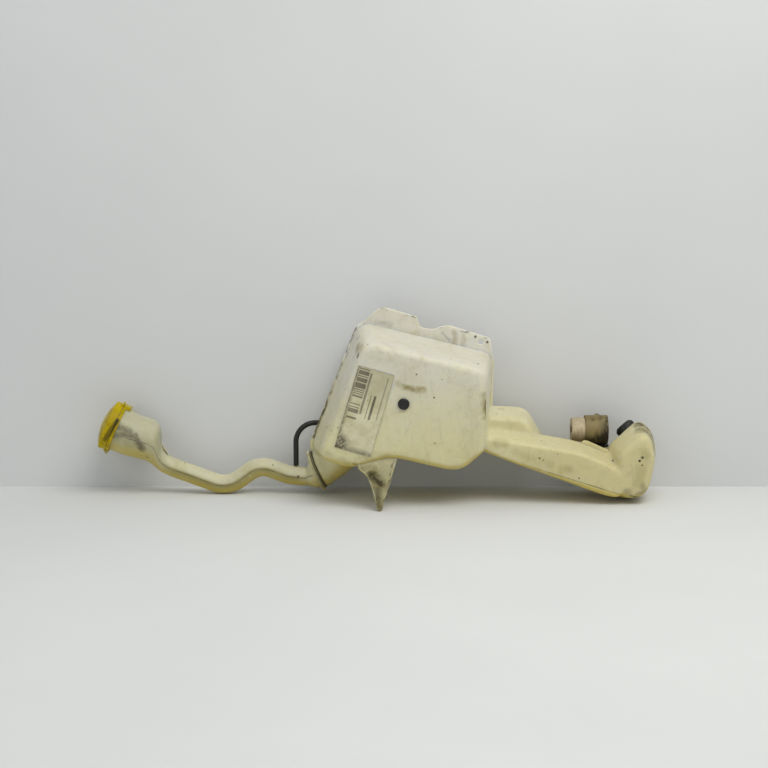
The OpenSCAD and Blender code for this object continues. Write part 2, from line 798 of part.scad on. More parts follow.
module pump_housing() {
    inlet_reach = pump_d / 2 + 1 + grommet_t + boss_t + 6;
    color(beige) placed() at_pump() difference() {
        union() {
            translate([0, 0, end_cap_l])
                cylinder(d = pump_d, h = pump_l - end_cap_l);
            translate([0, 0, inlet_z])
                rotate([0, 90, 0])
                    cylinder(d = inlet_d, h = inlet_reach);
            translate([-outlet_off, 0, wet_z + wet_l / 2])
                rotate([-90, 0, 0]) {
                    cylinder(d = outlet_d, h = outlet_l);
                    cylinder(d = outlet_seat_d, h = outlet_seat_l);
                }
        }
        translate([0, 0, end_cap_l - 1])
            cylinder(d = can_d + 2 * fit, h = seat_z - end_cap_l + 1);
        translate([0, 0, seat_z - 1])
            cylinder(d = shaft_d + 1, h = seat_t + 2);
        translate([0, 0, wet_z - seal_h])
            cylinder(d = seal_d, h = seal_h + 1);
        translate([0, 0, wet_z])
            cylinder(d = wet_d, h = wet_l + 1);
        translate([0, 0, plate_z])
            cylinder(d = plate_d, h = pump_l);
        translate([pump_d / 2 - 0.5, 0, inlet_z])
            rotate([0, 90, 0])
                cylinder(d = inlet_bore, h = inlet_reach);
        translate([wet_d / 2 - 4, -inlet_bore / 2, suction_z])
            cube([pump_d / 2 - wet_d / 2 + 4.5, inlet_bore, suction_l - 0.6]);
        translate([-outlet_off, 0, wet_z + wet_l / 2])
            rotate([-90, 0, 0])
                cylinder(d = outlet_bore, h = outlet_l + 1);
    }
}

module pump_end_cap() {
    color([0.7, 0.66, 0.57]) placed() at_pump() difference() {
        cylinder(d = end_cap_d, h = end_cap_l);
        translate([-4.5, -8, -1])
            cube([9, 16, plug_socket_l + 1]);
        translate([0, 0, plug_socket_l + plug_floor_t])
            cylinder(d = can_d + 2 * fit, h = end_cap_l);
        for (y = [-4, 4])
            translate([-0.5, y - 1.5, 0])
                cube([1, 3, end_cap_l]);
    }
}

// Plate with the eye that feeds the impeller, held by the cover's skirt
module suction_plate() {
    color(beige) placed() at_pump()
        translate([0, 0, plate_z])
            tube(plate_d - 2 * fit, 7, plate_t);
}
module pump_cover() {
    color(beige) placed() at_pump() difference() {
        translate([0, 0, suction_z])
            cylinder(d = plate_d - 2 * fit, h = suction_l + cover_t);
        translate([0, 0, suction_z - 1])
            cylinder(d = plate_d - 2 * cover_wall, h = suction_l + 1);
        translate([0, -inlet_bore / 2, suction_z - 1])
            cube([plate_d, inlet_bore, suction_l + 0.4]);
    }
}
module pump_terminals() {
    color(copper) placed() at_pump()
        for (y = [-4, 4])
            translate([-0.4, y - 1.4, 2])
                cube([0.8, 2.8, bell_z - 2]);
}

module motor_can() {
    color(steel) placed() at_pump() difference() {
        translate([0, 0, can_z])
            cylinder(d = can_d, h = can_l);
        translate([0, 0, can_z - 1])
            cylinder(d = can_in_d, h = can_l);
        translate([0, 0, can_z])
            cylinder(d = bush_d + 2 * fit, h = can_l + 1);
    }
}
module end_bell() {
    color([0.2, 0.2, 0.22]) placed() at_pump() difference() {
        translate([0, 0, bell_z])
            cylinder(d = can_d, h = bell_t);
        translate([0, 0, bell_z - 1])
            cylinder(d = bush_d + 2 * fit, h = bell_t + 2);
    }
}
module magnets() {
    color([0.25, 0.25, 0.27]) placed() at_pump()
        for (a = [30, 210])
            rotate([0, 0, a])
                translate([0, 0, core_z - 0.5])
                    rotate_extrude(angle = 120)
                        translate([armature_d / 2 + magnet_gap, 0])
                            square([can_in_d / 2 - fit - armature_d / 2 - magnet_gap, core_l + 1]);
}
module brushes() {
    color([0.3, 0.3, 0.3]) placed() at_pump()
        for (s = [-1, 1])
            translate([-1, s * (commutator_d / 2 + 0.3 + 1.5) - 1.5, can_z])
                cube([2, 3, commutator_l]);
}
module front_bush() {
    color(copper) placed() at_pump()
        translate([0, 0, seat_z - 2.4])
            tube(bush_d, shaft_d + 2 * run_fit, 2.4);
}
module rear_bush() {
    color(copper) placed() at_pump()
        translate([0, 0, bell_z])
            tube(bush_d, shaft_d + 2 * run_fit, bell_t);
}
module shaft_seal() {
    color(rubber) placed() at_pump()
        translate([0, 0, wet_z - seal_h])
            tube(seal_d - 2 * fit, shaft_d + 2 * run_fit, seal_h);
}

// Rotor
module motor_shaft() {
    color(steel) placed() at_pump()
        translate([0, 0, shaft_z])
            cylinder(d = shaft_d, h = shaft_l);
}
module armature_core() {
    stem = armature_d / 4;
    color(steel) placed() at_pump() translate([0, 0, core_z]) difference() {
        union() {
            cylinder(d = 0.4 * armature_d, h = core_l);
            for (i = [0 : poles - 1])
                rotate([0, 0, 360 / poles * i]) {
                    translate([0, -stem / 2, 0])
                        cube([armature_d / 2 - 1, stem, core_l]);
                    rotate([0, 0, -50])
                        rotate_extrude(angle = 100)
                            translate([armature_d / 2 - 1.5, 0])
                                square([1.5, core_l]);
                }
        }
        translate([0, 0, -1])
            cylinder(d = shaft_d + 2 * run_fit, h = core_l + 2);
    }
}
module winding() {
    r1 = 0.2 * armature_d + 0.3;
    r2 = armature_d / 2 - 1.8;
    half = armature_d / 8 + 0.3;
    color(copper) placed() at_pump() translate([0, 0, core_z - end_turn])
        for (i = [0 : poles - 1])
            rotate([0, 0, 360 / poles * i])
                difference() {
                    rotate([0, 0, -54])
                        rotate_extrude(angle = 108)
                            translate([r1, 0])
                                square([r2 - r1, core_l + 2 * end_turn]);
                    translate([0, -half, end_turn - 0.2])
                        cube([armature_d, 2 * half, core_l + 0.4]);
                }
}
module commutator() {
    color(copper) placed() at_pump()
        translate([0, 0, commutator_z])
            tube(commutator_d, shaft_d + 2 * run_fit, commutator_l);
}
module impeller() {
    hub_d = shaft_d + 3;
    vane_l = impeller_d / 2 - hub_d / 2 + 0.5;
    color([0.9, 0.9, 0.86]) placed() at_pump() translate([0, 0, impeller_z]) difference() {
        union() {
            cylinder(d = impeller_d, h = 1);
            cylinder(d = hub_d, h = impeller_l);
            for (i = [0 : vanes - 1])
                rotate([0, 0, 360 / vanes * i])
                    translate([hub_d / 2 - 0.5, -0.5, 0])
                        cube([vane_l - 0.2, 1, impeller_l - 0.3]);
        }
        translate([0, 0, -1])
            cylinder(d = shaft_d + 2 * run_fit, h = impeller_l + 2);
    }
}

tank_front();
tank_back();
mount_ear();
arm_front();
arm_back();
filler_neck();
neck_seal();
cap_collar();
cap_lid();
cap_gasket();
hinge_pin();
breather_hose();
front_plug();
sump_plug();
label();
pump_grommet();
pump_housing();
pump_end_cap();
suction_plate();
pump_cover();
pump_terminals();
motor_can();
end_bell();
magnets();
brushes();
front_bush();
rear_bush();
shaft_seal();
motor_shaft();
armature_core();
winding();
commutator();
impeller();
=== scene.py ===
"""Looks of the washer fluid reservoir: yellowed blown tank, filler pipe, cap, pump and rubber fittings."""

import math
import random

import bmesh
import bpy
from mathutils import Matrix, Vector, noise


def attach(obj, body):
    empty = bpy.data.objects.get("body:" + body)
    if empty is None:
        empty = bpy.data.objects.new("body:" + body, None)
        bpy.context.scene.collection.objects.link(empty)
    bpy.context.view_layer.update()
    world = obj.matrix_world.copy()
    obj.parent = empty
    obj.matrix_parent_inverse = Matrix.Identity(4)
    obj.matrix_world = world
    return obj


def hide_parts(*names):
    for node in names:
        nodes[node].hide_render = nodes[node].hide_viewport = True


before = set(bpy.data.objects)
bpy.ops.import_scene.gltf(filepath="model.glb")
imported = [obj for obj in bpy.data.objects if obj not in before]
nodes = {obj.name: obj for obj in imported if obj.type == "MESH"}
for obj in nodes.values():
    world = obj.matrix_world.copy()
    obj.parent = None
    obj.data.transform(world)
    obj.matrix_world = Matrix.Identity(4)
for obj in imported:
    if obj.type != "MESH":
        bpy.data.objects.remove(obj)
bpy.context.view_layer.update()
scene = bpy.context.scene
rng = random.Random(11)

MM = 0.001
# The drawing is in millimetres; the part's frame is the drawing moved by this much
SHIFT = Vector((3.0, 32.0, 0.0))
UP = Vector((0, 0, 1))


def place(x, y, z):
    """Point of the drawing as a point of the part's frame in metres."""
    return (Vector((x, y, z)) + SHIFT) * MM


def circle(n):
    """Angles of n points round a circle."""
    return [math.tau * i / n for i in range(n)]


# Outlines and lofts
SIDE_PARTS = 2.1  # a rounded corner takes at most one of these parts of a side
CORNER_STEPS = 6
EDGE_STEPS = 5
EDGE_DRAW = 0.9  # how far a round edge draws its outline in, as a share of its radius
SHARP_ANGLE = math.radians(32)


def rounded(pts, corners, n=CORNER_STEPS):
    """Outline whose corner i is a curve of n steps that begins corners[i] before the corner."""
    out, k = [], len(pts)
    for i in range(k):
        a, b, c = (Vector(pts[(i + j) % k]) for j in (-1, 0, 1))
        p = b + (a - b).normalized() * min(corners[i], (a - b).length / SIDE_PARTS)
        q = b + (c - b).normalized() * min(corners[i], (c - b).length / SIDE_PARTS)
        out += [p.lerp(b, t / n).lerp(b.lerp(q, t / n), t / n) for t in range(n + 1)]
    return out


def inset(pts, d):
    """Closed outline moved inwards by d."""
    out, k = [], len(pts)
    for i in range(k):
        a, b, c = (Vector(pts[(i + j) % k]) for j in (-1, 0, 1))
        m, n = (Vector((-v.y, v.x)).normalized() for v in (b - a, c - b))
        out.append(b + d * (m + n) / (1 + m.dot(n)))
    return out


def loft(bm, rings, ring_closed=False):
    """Skin over rings of equal count, with flat ends or, where ring_closed, back to the first ring."""
    loops = [[bm.verts.new(p) for p in r] for r in rings]
    pairs = list(zip(loops, loops[1:])) + ([(loops[-1], loops[0])] if ring_closed else [])
    faces = []
    for a, b in pairs:
        for i in range(len(a)):
            j = (i + 1) % len(a)
            faces.append(bm.faces.new((a[i], a[j], b[j], b[i])))
    if not ring_closed:
        faces.append(bm.faces.new(list(reversed(loops[0]))))
        faces.append(bm.faces.new(loops[-1]))
    bmesh.ops.recalc_face_normals(bm, faces=faces)


def blown(bm, pts, corners, y0, front, back, slope_f, slope_b, r_f, r_b):
    """Closed lobe on both sides of the plane y0, drawn in by its slopes and round its edges."""
    turns = [math.radians(90 * i / EDGE_STEPS) for i in range(EDGE_STEPS + 1)]
    levels = []
    for t in reversed(turns):
        s, c = math.sin(t), math.cos(t)
        draw = slope_f * (front - r_f) / front + EDGE_DRAW * r_f * (1 - c)
        levels.append((y0 - front + r_f * (1 - s), draw))
    levels.append((y0, 0))
    for t in turns:
        s, c = math.sin(t), math.cos(t)
        draw = slope_b * (back - r_b) / back + EDGE_DRAW * r_b * (1 - c)
        levels.append((y0 + back - r_b * (1 - s), draw))
    loft(bm, [[place(p.x, y, p.y) for p in rounded(inset(pts, d), corners)] for y, d in levels])


def cylinder(bm, start, axis, length, r, n=48, edge=0.6):
    """Closed cylinder with softened rims, from a point of the drawing along an axis."""
    axis = Vector(axis).normalized()
    u = axis.orthogonal().normalized()
    v = axis.cross(u)
    rows = [(0, r - edge), (edge, r), (length - edge, r), (length, r - edge)]
    spokes = [u * math.cos(a) + v * math.sin(a) for a in circle(n)]
    loft(bm, [[place(*(Vector(start) + axis * h + q * spoke)) for spoke in spokes] for h, q in rows])


def piece(bm, name):
    """Smooth mesh object of the reservoir."""
    mesh = bpy.data.meshes.new(name)
    bm.to_mesh(mesh)
    bm.free()
    obj = bpy.data.objects.new(name, mesh)
    scene.collection.objects.link(obj)
    for poly in mesh.polygons:
        poly.use_smooth = True
    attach(obj, "reservoir")
    return obj


def modifier(obj, kind, **values):
    m = obj.modifiers.new(kind.lower(), kind)
    for key, value in values.items():
        setattr(m, key, value)


def bake(obj):
    """Replaces an added piece's mesh by the result of its modifiers."""
    graph = bpy.context.evaluated_depsgraph_get()
    graph.update()
    mesh = bpy.data.meshes.new_from_object(obj.evaluated_get(graph))
    obj.modifiers.clear()
    obj.data = mesh
    for poly in mesh.polygons:
        poly.use_smooth = True


def soften(obj, width):
    """Small round edges on a solid of the frame, by modifiers alone."""
    modifier(obj, "WELD", merge_threshold=1e-6)
    modifier(obj, "BEVEL", width=width, segments=2, limit_method="ANGLE", angle_limit=SHARP_ANGLE)
    modifier(obj, "WEIGHTED_NORMAL", keep_sharp=False)


# Outlines of the tank in the X-Z plane of the drawing, each with the reach of its rounded corners
CHAMBER = [(-82, 52), (-30, 36), (16, 49), (96, 31), (124, 55), (131, 62), (134, 168), (-21.5, 206)]
CHAMBER_CORNERS = [16, 14, 12, 16, 10, 6, 12, 16]
ARM = [(100, 64), (166, 38.5), (258, 5.5), (282, 0), (298, 30), (275, 50), (236, 68), (100, 91.2)]
ARM_CORNERS = [6, 30, 14, 12, 8, 8, 16, 6]
SUMP = [(274, 0), (303, 0), (318, 13), (326, 52), (320, 80), (303, 95), (267, 62)]
SUMP_CORNERS = [10, 10, 12, 14, 12, 11, 8]
DUCT = [(178, 38), (278, 3), (303, 3), (306, 30), (298, 57), (178, 57)]
DUCT_CORNERS = [4, 12, 10, 10, 6, 4]
HUMP = [(95, 66), (180, 42), (205, 49), (190, 78), (174.5, 104), (95, 106.5)]
HUMP_CORNERS = [4, 12, 12, 16, 12, 4]
WEB = [(-12, 186), (126, 152), (134, 166), (131, 186), (84, 201), (73, 200), (65, 196), (49, 199),
       (45, 212), (9, 222), (-2, 220), (-18, 202)]
WEB_CORNERS = [1, 1, 4, 3, 6, 4, 5, 4, 3, 8, 6, 4]
FOOT = [(-0.5, 0), (4.5, 0), (9, 16), (15, 35), (23, 62), (23, 72), (-20, 72), (-23, 47), (-13, 40),
        (-6, 23)]
FOOT_CORNERS = [2, 2, 6, 8, 6, 2, 2, 4, 7, 8]
RIB = [(234, 56), (273, 41), (276, 49), (274, 55), (244, 68.5), (238, 69)]
RIB_CORNERS = [1, 1, 3, 2, 3, 3]

# Socket of the filler pipe and the lobe that runs from it into the chamber
SOCKET = Vector((-70, 0, 29.5))
SOCKET_TILT = math.radians(24.5)
SOCKET_IN = Vector((math.cos(SOCKET_TILT), 0, math.sin(SOCKET_TILT)))
SOCKET_UP = Vector((-math.sin(SOCKET_TILT), 0, math.cos(SOCKET_TILT)))
LOBE_START, LOBE_R, LOBE_REACH = 3, 21.6, 34
LOBE_TOP = Vector((-29.4, -27.3, 84.6))
LOBE_HALF_X, LOBE_HALF_Y = 37, 42
LOBE_RINGS = 15

# Boss under the pump, seat of the sump's plug and spigots of the breather hose
SHELF_BOSS = Vector((263.5, 0, 52))
BUNG_AT = Vector((293, 0, 77))
BUNG_LEAN, BUNG_TILT = math.radians(19), math.radians(42)
BUNG_OUT = Vector((-math.sin(BUNG_TILT) * math.cos(BUNG_LEAN), math.sin(BUNG_LEAN),
                   math.cos(BUNG_TILT) * math.cos(BUNG_LEAN)))
BUNG_SEAT = 12
HOSE_X, HOSE_WALL_X = -97, -69.43
HOSE_LOW, HOSE_BEND_Z, HOSE_BEND_R = 33.9, 62, 22
HOSE_TOP = HOSE_BEND_Z + HOSE_BEND_R
HOSE_TURN = math.radians(15)
HOSE_ALONG = Vector((math.cos(HOSE_TURN), math.sin(HOSE_TURN), 0))
HOSE_RUN = (HOSE_WALL_X - HOSE_X) / math.cos(HOSE_TURN)
SPIGOT_R = 1.8

# Wall of the tank's skin and the slow waves of the blown surface, in metres
TANK_WALL = 0.0025
SKIN_DEPTH = 0.0003
FLOOR_ZONE = 0.004  # the skin has no waves below this height
WAVE, RIPPLE = 0.0005, 0.00016


def socket_lobe(bm):
    """Lobe that widens from the socket's circle to an oval in the chamber."""
    start = SOCKET + LOBE_START * SOCKET_IN
    rings = []
    for j in range(LOBE_RINGS):
        t = j / (LOBE_RINGS - 1)
        ring = []
        for a in circle(64):
            p = start + LOBE_R * (math.cos(a) * SOCKET_UP + math.sin(a) * Vector((0, 1, 0)))
            q = LOBE_TOP + Vector((-LOBE_HALF_X * math.cos(a), LOBE_HALF_Y * math.sin(a), 0))
            m = p + LOBE_REACH * SOCKET_IN
            ring.append(place(*p.lerp(m, t).lerp(m.lerp(q, t), t)))
        rings.append(ring)
    loft(bm, rings)


def tank_skin():
    """The blown tank: its lobes joined to one skin, then given an even wall."""
    bm = bmesh.new()
    blown(bm, CHAMBER, CHAMBER_CORNERS, y0=0, front=85, back=28, slope_f=11, slope_b=11 / 3, r_f=9, r_b=4.5)
    blown(bm, ARM, ARM_CORNERS, y0=-25, front=40, back=6, slope_f=7, slope_b=1, r_f=5, r_b=2)
    blown(bm, SUMP, SUMP_CORNERS, y0=-24, front=40, back=42, slope_f=8.75, slope_b=15, r_f=7, r_b=6)
    blown(bm, DUCT, DUCT_CORNERS, y0=-12, front=28, back=30, slope_f=4, slope_b=3, r_f=4, r_b=5)
    blown(bm, HUMP, HUMP_CORNERS, y0=1, front=36, back=24, slope_f=8, slope_b=4, r_f=8, r_b=8)
    socket_lobe(bm)
    cylinder(bm, SOCKET, SOCKET_IN, length=8, r=23)
    cylinder(bm, SHELF_BOSS, UP, length=5, r=12)
    cylinder(bm, BUNG_AT - BUNG_SEAT * BUNG_OUT, BUNG_OUT, length=BUNG_SEAT, r=11.5)
    spigot_at = Vector((HOSE_X, 0, HOSE_TOP)) + HOSE_ALONG * (HOSE_RUN - 8)
    cylinder(bm, spigot_at, HOSE_ALONG, length=14, r=SPIGOT_R, n=20, edge=0.2)
    obj = piece(bm, "tank_skin")
    modifier(obj, "REMESH", mode="VOXEL", voxel_size=0.0023, use_smooth_shade=True)
    modifier(obj, "SMOOTH", factor=0.5, iterations=4)
    bake(obj)
    # the waves are drawn inwards so that the skin stays inside its outline
    normals = [n.vector.copy() for n in obj.data.vertex_normals]
    for v, n in zip(obj.data.vertices, normals):
        p = v.co.copy()
        push = noise.noise(p * 24) * WAVE + noise.noise(p * 70 + Vector((3, 1, 2))) * RIPPLE
        v.co = p - n * (SKIN_DEPTH if p.z < FLOOR_ZONE else push + SKIN_DEPTH)
    modifier(obj, "SOLIDIFY", thickness=TANK_WALL, offset=-1, use_rim=False)
    bake(obj)
    return obj


def seam_ridge(name, pts, corners, y, reach, inner, t):
    """Parting ridge of thickness t round an outline, reaching out of the skin and a little into it."""
    bm = bmesh.new()
    e = min(0.5, 0.3 * t)
    profile = [(inner, -t / 2), (-reach + e, -t / 2), (-reach, -t / 2 + e), (-reach, t / 2 - e),
               (-reach + e, t / 2), (inner, t / 2)]
    loft(bm, [[place(p.x, y + dy, p.y) for p in rounded(inset(pts, d), corners, 8)] for d, dy in profile],
         ring_closed=True)
    return piece(bm, name)


def plate(name, outline, t, bevel, holes=(), matrix=Matrix.Identity(4)):
    """Flat plate in the X-Z plane of the drawing with rounded rims and round holes, centred on y = 0."""
    curve = bpy.data.curves.new(name, "CURVE")
    curve.dimensions = "2D"
    curve.fill_mode = "BOTH"
    curve.extrude = t / 2 - bevel
    curve.bevel_depth = bevel
    curve.bevel_resolution = 3
    loops = [[(p[0], p[1]) for p in outline]]
    for x, z, r in holes:
        rim = r + bevel
        loops.append([(x + rim * math.cos(a), z + rim * math.sin(a)) for a in circle(40)])
    for loop in loops:
        spline = curve.splines.new("POLY")
        spline.points.add(len(loop) - 1)
        for point, (x, z) in zip(spline.points, loop):
            point.co = (x, z, 0, 1)
        spline.use_cyclic_u = True
    temp = bpy.data.objects.new(name + "_line", curve)
    scene.collection.objects.link(temp)
    graph = bpy.context.evaluated_depsgraph_get()
    graph.update()
    mesh = bpy.data.meshes.new_from_object(temp.evaluated_get(graph))
    bpy.data.objects.remove(temp)
    bm = bmesh.new()
    bm.from_mesh(mesh)
    stand = Matrix(((1, 0, 0, 0), (0, 0, -1, 0), (0, 1, 0, 0), (0, 0, 0, 1)))
    for v in bm.verts:
        v.co = place(*(matrix @ (stand @ v.co)))
    bmesh.ops.remove_doubles(bm, verts=bm.verts, dist=1e-6)
    bmesh.ops.recalc_face_normals(bm, faces=bm.faces)
    return bm


# Ears and foot
PLATE_T = 3.4
EAR_HOLE = (120, 181.5, 3.5)
TORN_FROM, TORN_OVER, WHOLE_X = 190, 10, 110
TORN_X, TORN_Z = 0.25, 0.45
FOOT_LEAN = math.radians(13)
FOOT_Y, FOOT_HEIGHT = -77, 66
FOOT_LIFT = 2.5 * math.tan(FOOT_LEAN)
FOOT_STAND = (Matrix.Translation((0, FOOT_Y, FOOT_HEIGHT)) @ Matrix.Rotation(-FOOT_LEAN, 4, "X")
              @ Matrix.Translation((0, 0, -FOOT_HEIGHT / math.cos(FOOT_LEAN) + FOOT_LIFT)))
RIM_R, RIM_DEPTH, RIM_Y = 1.1, 1.25, -1.2
FIN = [(-86, 18), (-70, 66), (-44, 66)]
FIN_CORNERS = [3, 3, 3]
FIN_LEVELS = ((2.0, 1.0), (2.6, 0.4), (5.4, 0.4), (6.0, 1.0))


def ear_web():
    """Both ears in one plate, with a worn upper edge."""
    outline = []
    for p in rounded(inset(WEB, 0.5), WEB_CORNERS):
        torn = max(0.0, min(1.0, (p.y - TORN_FROM) / TORN_OVER)) if p.x < WHOLE_X else 0.5
        outline.append((p.x - abs(rng.gauss(0, TORN_X)) * torn, p.y - abs(rng.gauss(0, TORN_Z)) * torn))
    return piece(plate("ear_web", outline, PLATE_T, 0.5, [EAR_HOLE]), "ear_web")


def foot_blade():
    outline = rounded(inset(FOOT, 0.8), FOOT_CORNERS)
    return piece(plate("foot_blade", outline, PLATE_T, 0.8, matrix=FOOT_STAND), "foot_blade")


def foot_rim():
    """Bead along the front edge of the blade."""
    bm = bmesh.new()
    side = rounded(inset(FOOT, 1.3), FOOT_CORNERS)
    rings = []
    for i in range(len(side)):
        a, b = side[i - 1], side[(i + 1) % len(side)]
        d = (b - a).normalized()
        out = Vector((d.y, -d.x))
        ring = []
        for q in circle(8):
            p = side[i] + out * RIM_R * math.cos(q)
            ring.append(place(*(FOOT_STAND @ Vector((p.x, RIM_Y + RIM_DEPTH * math.sin(q), p.y)))))
        rings.append(ring)
    loft(bm, rings, ring_closed=True)
    return piece(bm, "foot_rim")


def foot_fin():
    """Fin between the blade and the tank."""
    bm = bmesh.new()
    loft(bm, [[place(x, p.x, p.y) for p in rounded(inset(FIN, d), FIN_CORNERS, 4)] for x, d in FIN_LEVELS])
    return piece(bm, "foot_fin")


def arm_rib():
    at = Matrix.Translation((0, -26, 0))
    return piece(plate("arm_rib", rounded(inset(RIB, 0.6), RIB_CORNERS), 4, 0.6, matrix=at), "arm_rib")


tank = tank_skin()
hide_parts("tank_front", "tank_back", "arm_front", "arm_back")
ears = ear_web()
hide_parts("mount_ear")
foot_parts = [foot_blade(), foot_rim(), foot_fin()]
tank_seam = seam_ridge("tank_seam", CHAMBER, CHAMBER_CORNERS, y=0, reach=2, inner=3, t=2.4)
tank_parts = [tank, tank_seam, arm_rib()]

# Filler pipe, drawn in the X-Z plane
MOUTH_TILT = math.radians(24)
CUP_AT = Vector((-269, 69.5))
CUP_BEND_R, CUP_STRAIGHT = 83, 12
MOUTH_OUT = Vector((-math.cos(MOUTH_TILT), math.sin(MOUTH_TILT)))
BEND_TOP = CUP_AT + CUP_BEND_R * Vector((-math.sin(MOUTH_TILT), 1 - math.cos(MOUTH_TILT)))
MOUTH_AT = BEND_TOP + CUP_STRAIGHT * MOUTH_OUT
PIPE_R, PIPE_WALL, FLARE_R = 11.0, 2.0, 20.4
PIPE_START, PIPE_CREST = Vector((-247, 33)), Vector((-140, 35))
PIPE_DIP, PIPE_END = Vector((-106, 22.5)), Vector((-86, 20.5))
PIPE_LOW_X = -178
PIPE_BENDS = [0, 32, 26, 39, 0]
BEND_STEPS, CUP_STEPS, FLARE_STEPS = 12, 4, 10
FLANGE_GAP = 4.8
# Steps of the mouth and of the socket's end: way in from the rim or out of the socket, radius
MOUTH_OUTSIDE = [(0, 26.8), (0.5, 27.4), (3.4, 27.4), (4, 26.7), (9, 26.6)]
MOUTH_INSIDE = [(9, 24.2), (0.4, 24.2), (0, 24.6)]
SOCKET_OUTSIDE = [(5, 24.4), (4.4, 25), (2.6, 25), (2.02, 24.4), (2.02, 17.9), (-9, 17.9)]
SOCKET_INSIDE = [(-9, 15.9), (2, 15.9)]
# Cup and throat after the mouth: upper outline, lower outline, half depth
CUP = [((-291.5, 100.4), (-313.2, 52.4), 26.4), ((-281, 94.4), (-300, 47.2), 25.8),
       ((-270, 90.8), (-284, 43.2), 25.3), ((-263.5, 88.2), (-273, 39.8), 25),
       ((-259, 84.2), (-268, 36.4), 24), ((-257, 78.5), (-264.5, 33.4), 22),
       ((-256.4, 70), (-262, 30.9), 19), ((-256, 62.5), (-259.6, 28.7), 16),
       ((-254.6, 55.5), (-257, 26.8), 13.6), ((-251.4, 50), (-254.2, 25), 12.1),
       ((-247.6, 46.2), (-250.8, 23.4), 11.3)]
CUP_WEB = [(-258, 45), (-249, 44), (-249.5, 49), (-256.5, 62)]
CUP_WEB_CORNERS = [1, 1, 1, 1]
PIPE_SEAM_PROUD = 0.7


def heading(v):
    return math.atan2(v.y, v.x)


def toward(angle):
    """Unit vector of a heading."""
    return Vector((math.cos(angle), math.sin(angle)))


def ease(t):
    return (1 - math.cos(math.pi * t)) / 2


def round_ring(c, d, r):
    """Station of the pipe: point on its upper outline, point on its lower outline and half its depth."""
    off = r * Vector((-math.sin(d), math.cos(d)))
    return c + off, c - off, r


def smooth_step(a, b, c, d, t):
    """Catmull-Rom curve through b and c."""
    square, cube = 2 * a - 5 * b + 4 * c - d, 3 * b - a - 3 * c + d
    return 0.5 * (2 * b + (c - a) * t + square * t * t + cube * t ** 3)


def cup_stations(first_heading):
    """Stations of the cup and the throat, down to the round pipe."""
    top, low, depth = round_ring(PIPE_START + 4 * toward(first_heading), first_heading, PIPE_R)
    rows = [(*t, *b, w) for t, b, w in CUP] + [(*top, *low, depth)]
    out = []
    for i in range(len(rows) - 1):
        near = [rows[max(0, min(len(rows) - 1, i + k))] for k in (-1, 0, 1, 2)]
        for j in range(CUP_STEPS):
            v = [smooth_step(*values, j / CUP_STEPS) for values in zip(*near)]
            out.append((Vector(v[:2]), Vector(v[2:4]), v[4]))
    return out


def pipe_stations():
    """Stations from the cup over the bends to the flared end at the socket."""
    fall = math.atan2(PIPE_START.y - PIPE_R, PIPE_LOW_X - PIPE_START.x)
    rise = math.atan2(PIPE_CREST.y - PIPE_R, PIPE_CREST.x - PIPE_LOW_X)
    half = (fall + rise) / 2
    low = Vector((PIPE_LOW_X, PIPE_R - PIPE_BENDS[1] * (1 / math.cos(half) - 1)))
    pts = [PIPE_START, low, PIPE_CREST, PIPE_DIP, PIPE_END]
    dirs = [heading(b - a) for a, b in zip(pts, pts[1:])]
    out = cup_stations(dirs[0])
    for i in (1, 2, 3):
        turn = dirs[i] - dirs[i - 1]
        side = math.copysign(1, turn)
        bend = PIPE_BENDS[i]
        begin = pts[i] - (pts[i] - pts[i - 1]).normalized() * bend * math.tan(abs(turn) / 2)
        mid = begin + side * bend * Vector((-math.sin(dirs[i - 1]), math.cos(dirs[i - 1])))
        for j in range(BEND_STEPS + 1):
            d = dirs[i - 1] + turn * j / BEND_STEPS
            out.append(round_ring(mid + side * bend * Vector((math.sin(d), -math.cos(d))), d, PIPE_R))
    finish = Vector((SOCKET.x, SOCKET.z)) - FLANGE_GAP * toward(SOCKET_TILT)
    for i in range(FLARE_STEPS + 1):
        t = i / FLARE_STEPS
        d = dirs[3] + (SOCKET_TILT - dirs[3]) * t
        out.append(round_ring(PIPE_END.lerp(finish, t), d, PIPE_R + (FLARE_R - PIPE_R) * ease(t)))
    return out


STATIONS = pipe_stations()


def section(top, low, depth):
    """Oval ring of the pipe at a station."""
    mid, h = (top + low) / 2, (top - low) / 2
    return [place(mid.x + h.x * math.sin(a), -depth * math.cos(a), mid.y + h.y * math.sin(a))
            for a in circle(72)]


def thinner(top, low, depth):
    """Inner side of the wall at a station."""
    off = (top - low).normalized() * PIPE_WALL
    return top - off, low + off, depth - PIPE_WALL


def filler_pipe():
    """The pipe as one closed skin, down its outside and back up its inside."""
    bm = bmesh.new()

    def at_mouth(s, r):
        return round_ring(MOUTH_AT - MOUTH_OUT * s, -MOUTH_TILT, r)

    def at_socket(h, r):
        return round_ring(Vector((SOCKET.x, SOCKET.z)) - toward(SOCKET_TILT) * h, SOCKET_TILT, r)

    outer = [at_mouth(*q) for q in MOUTH_OUTSIDE] + STATIONS + [at_socket(*q) for q in SOCKET_OUTSIDE]
    inner = [at_socket(*q) for q in SOCKET_INSIDE]
    inner += [thinner(*q) for q in reversed(STATIONS)]
    inner += [at_mouth(*q) for q in MOUTH_INSIDE]
    loft(bm, [section(*q) for q in outer + inner], ring_closed=True)
    obj = piece(bm, "filler_pipe")
    modifier(obj, "WEIGHTED_NORMAL", keep_sharp=False)
    bake(obj)
    return obj


def pipe_spigot():
    """Stub on the pipe that carries the hose."""
    bm = bmesh.new()
    cylinder(bm, (HOSE_X, 0, 30), UP, length=11.5, r=SPIGOT_R, n=24, edge=0.2)
    return piece(bm, "pipe_spigot")


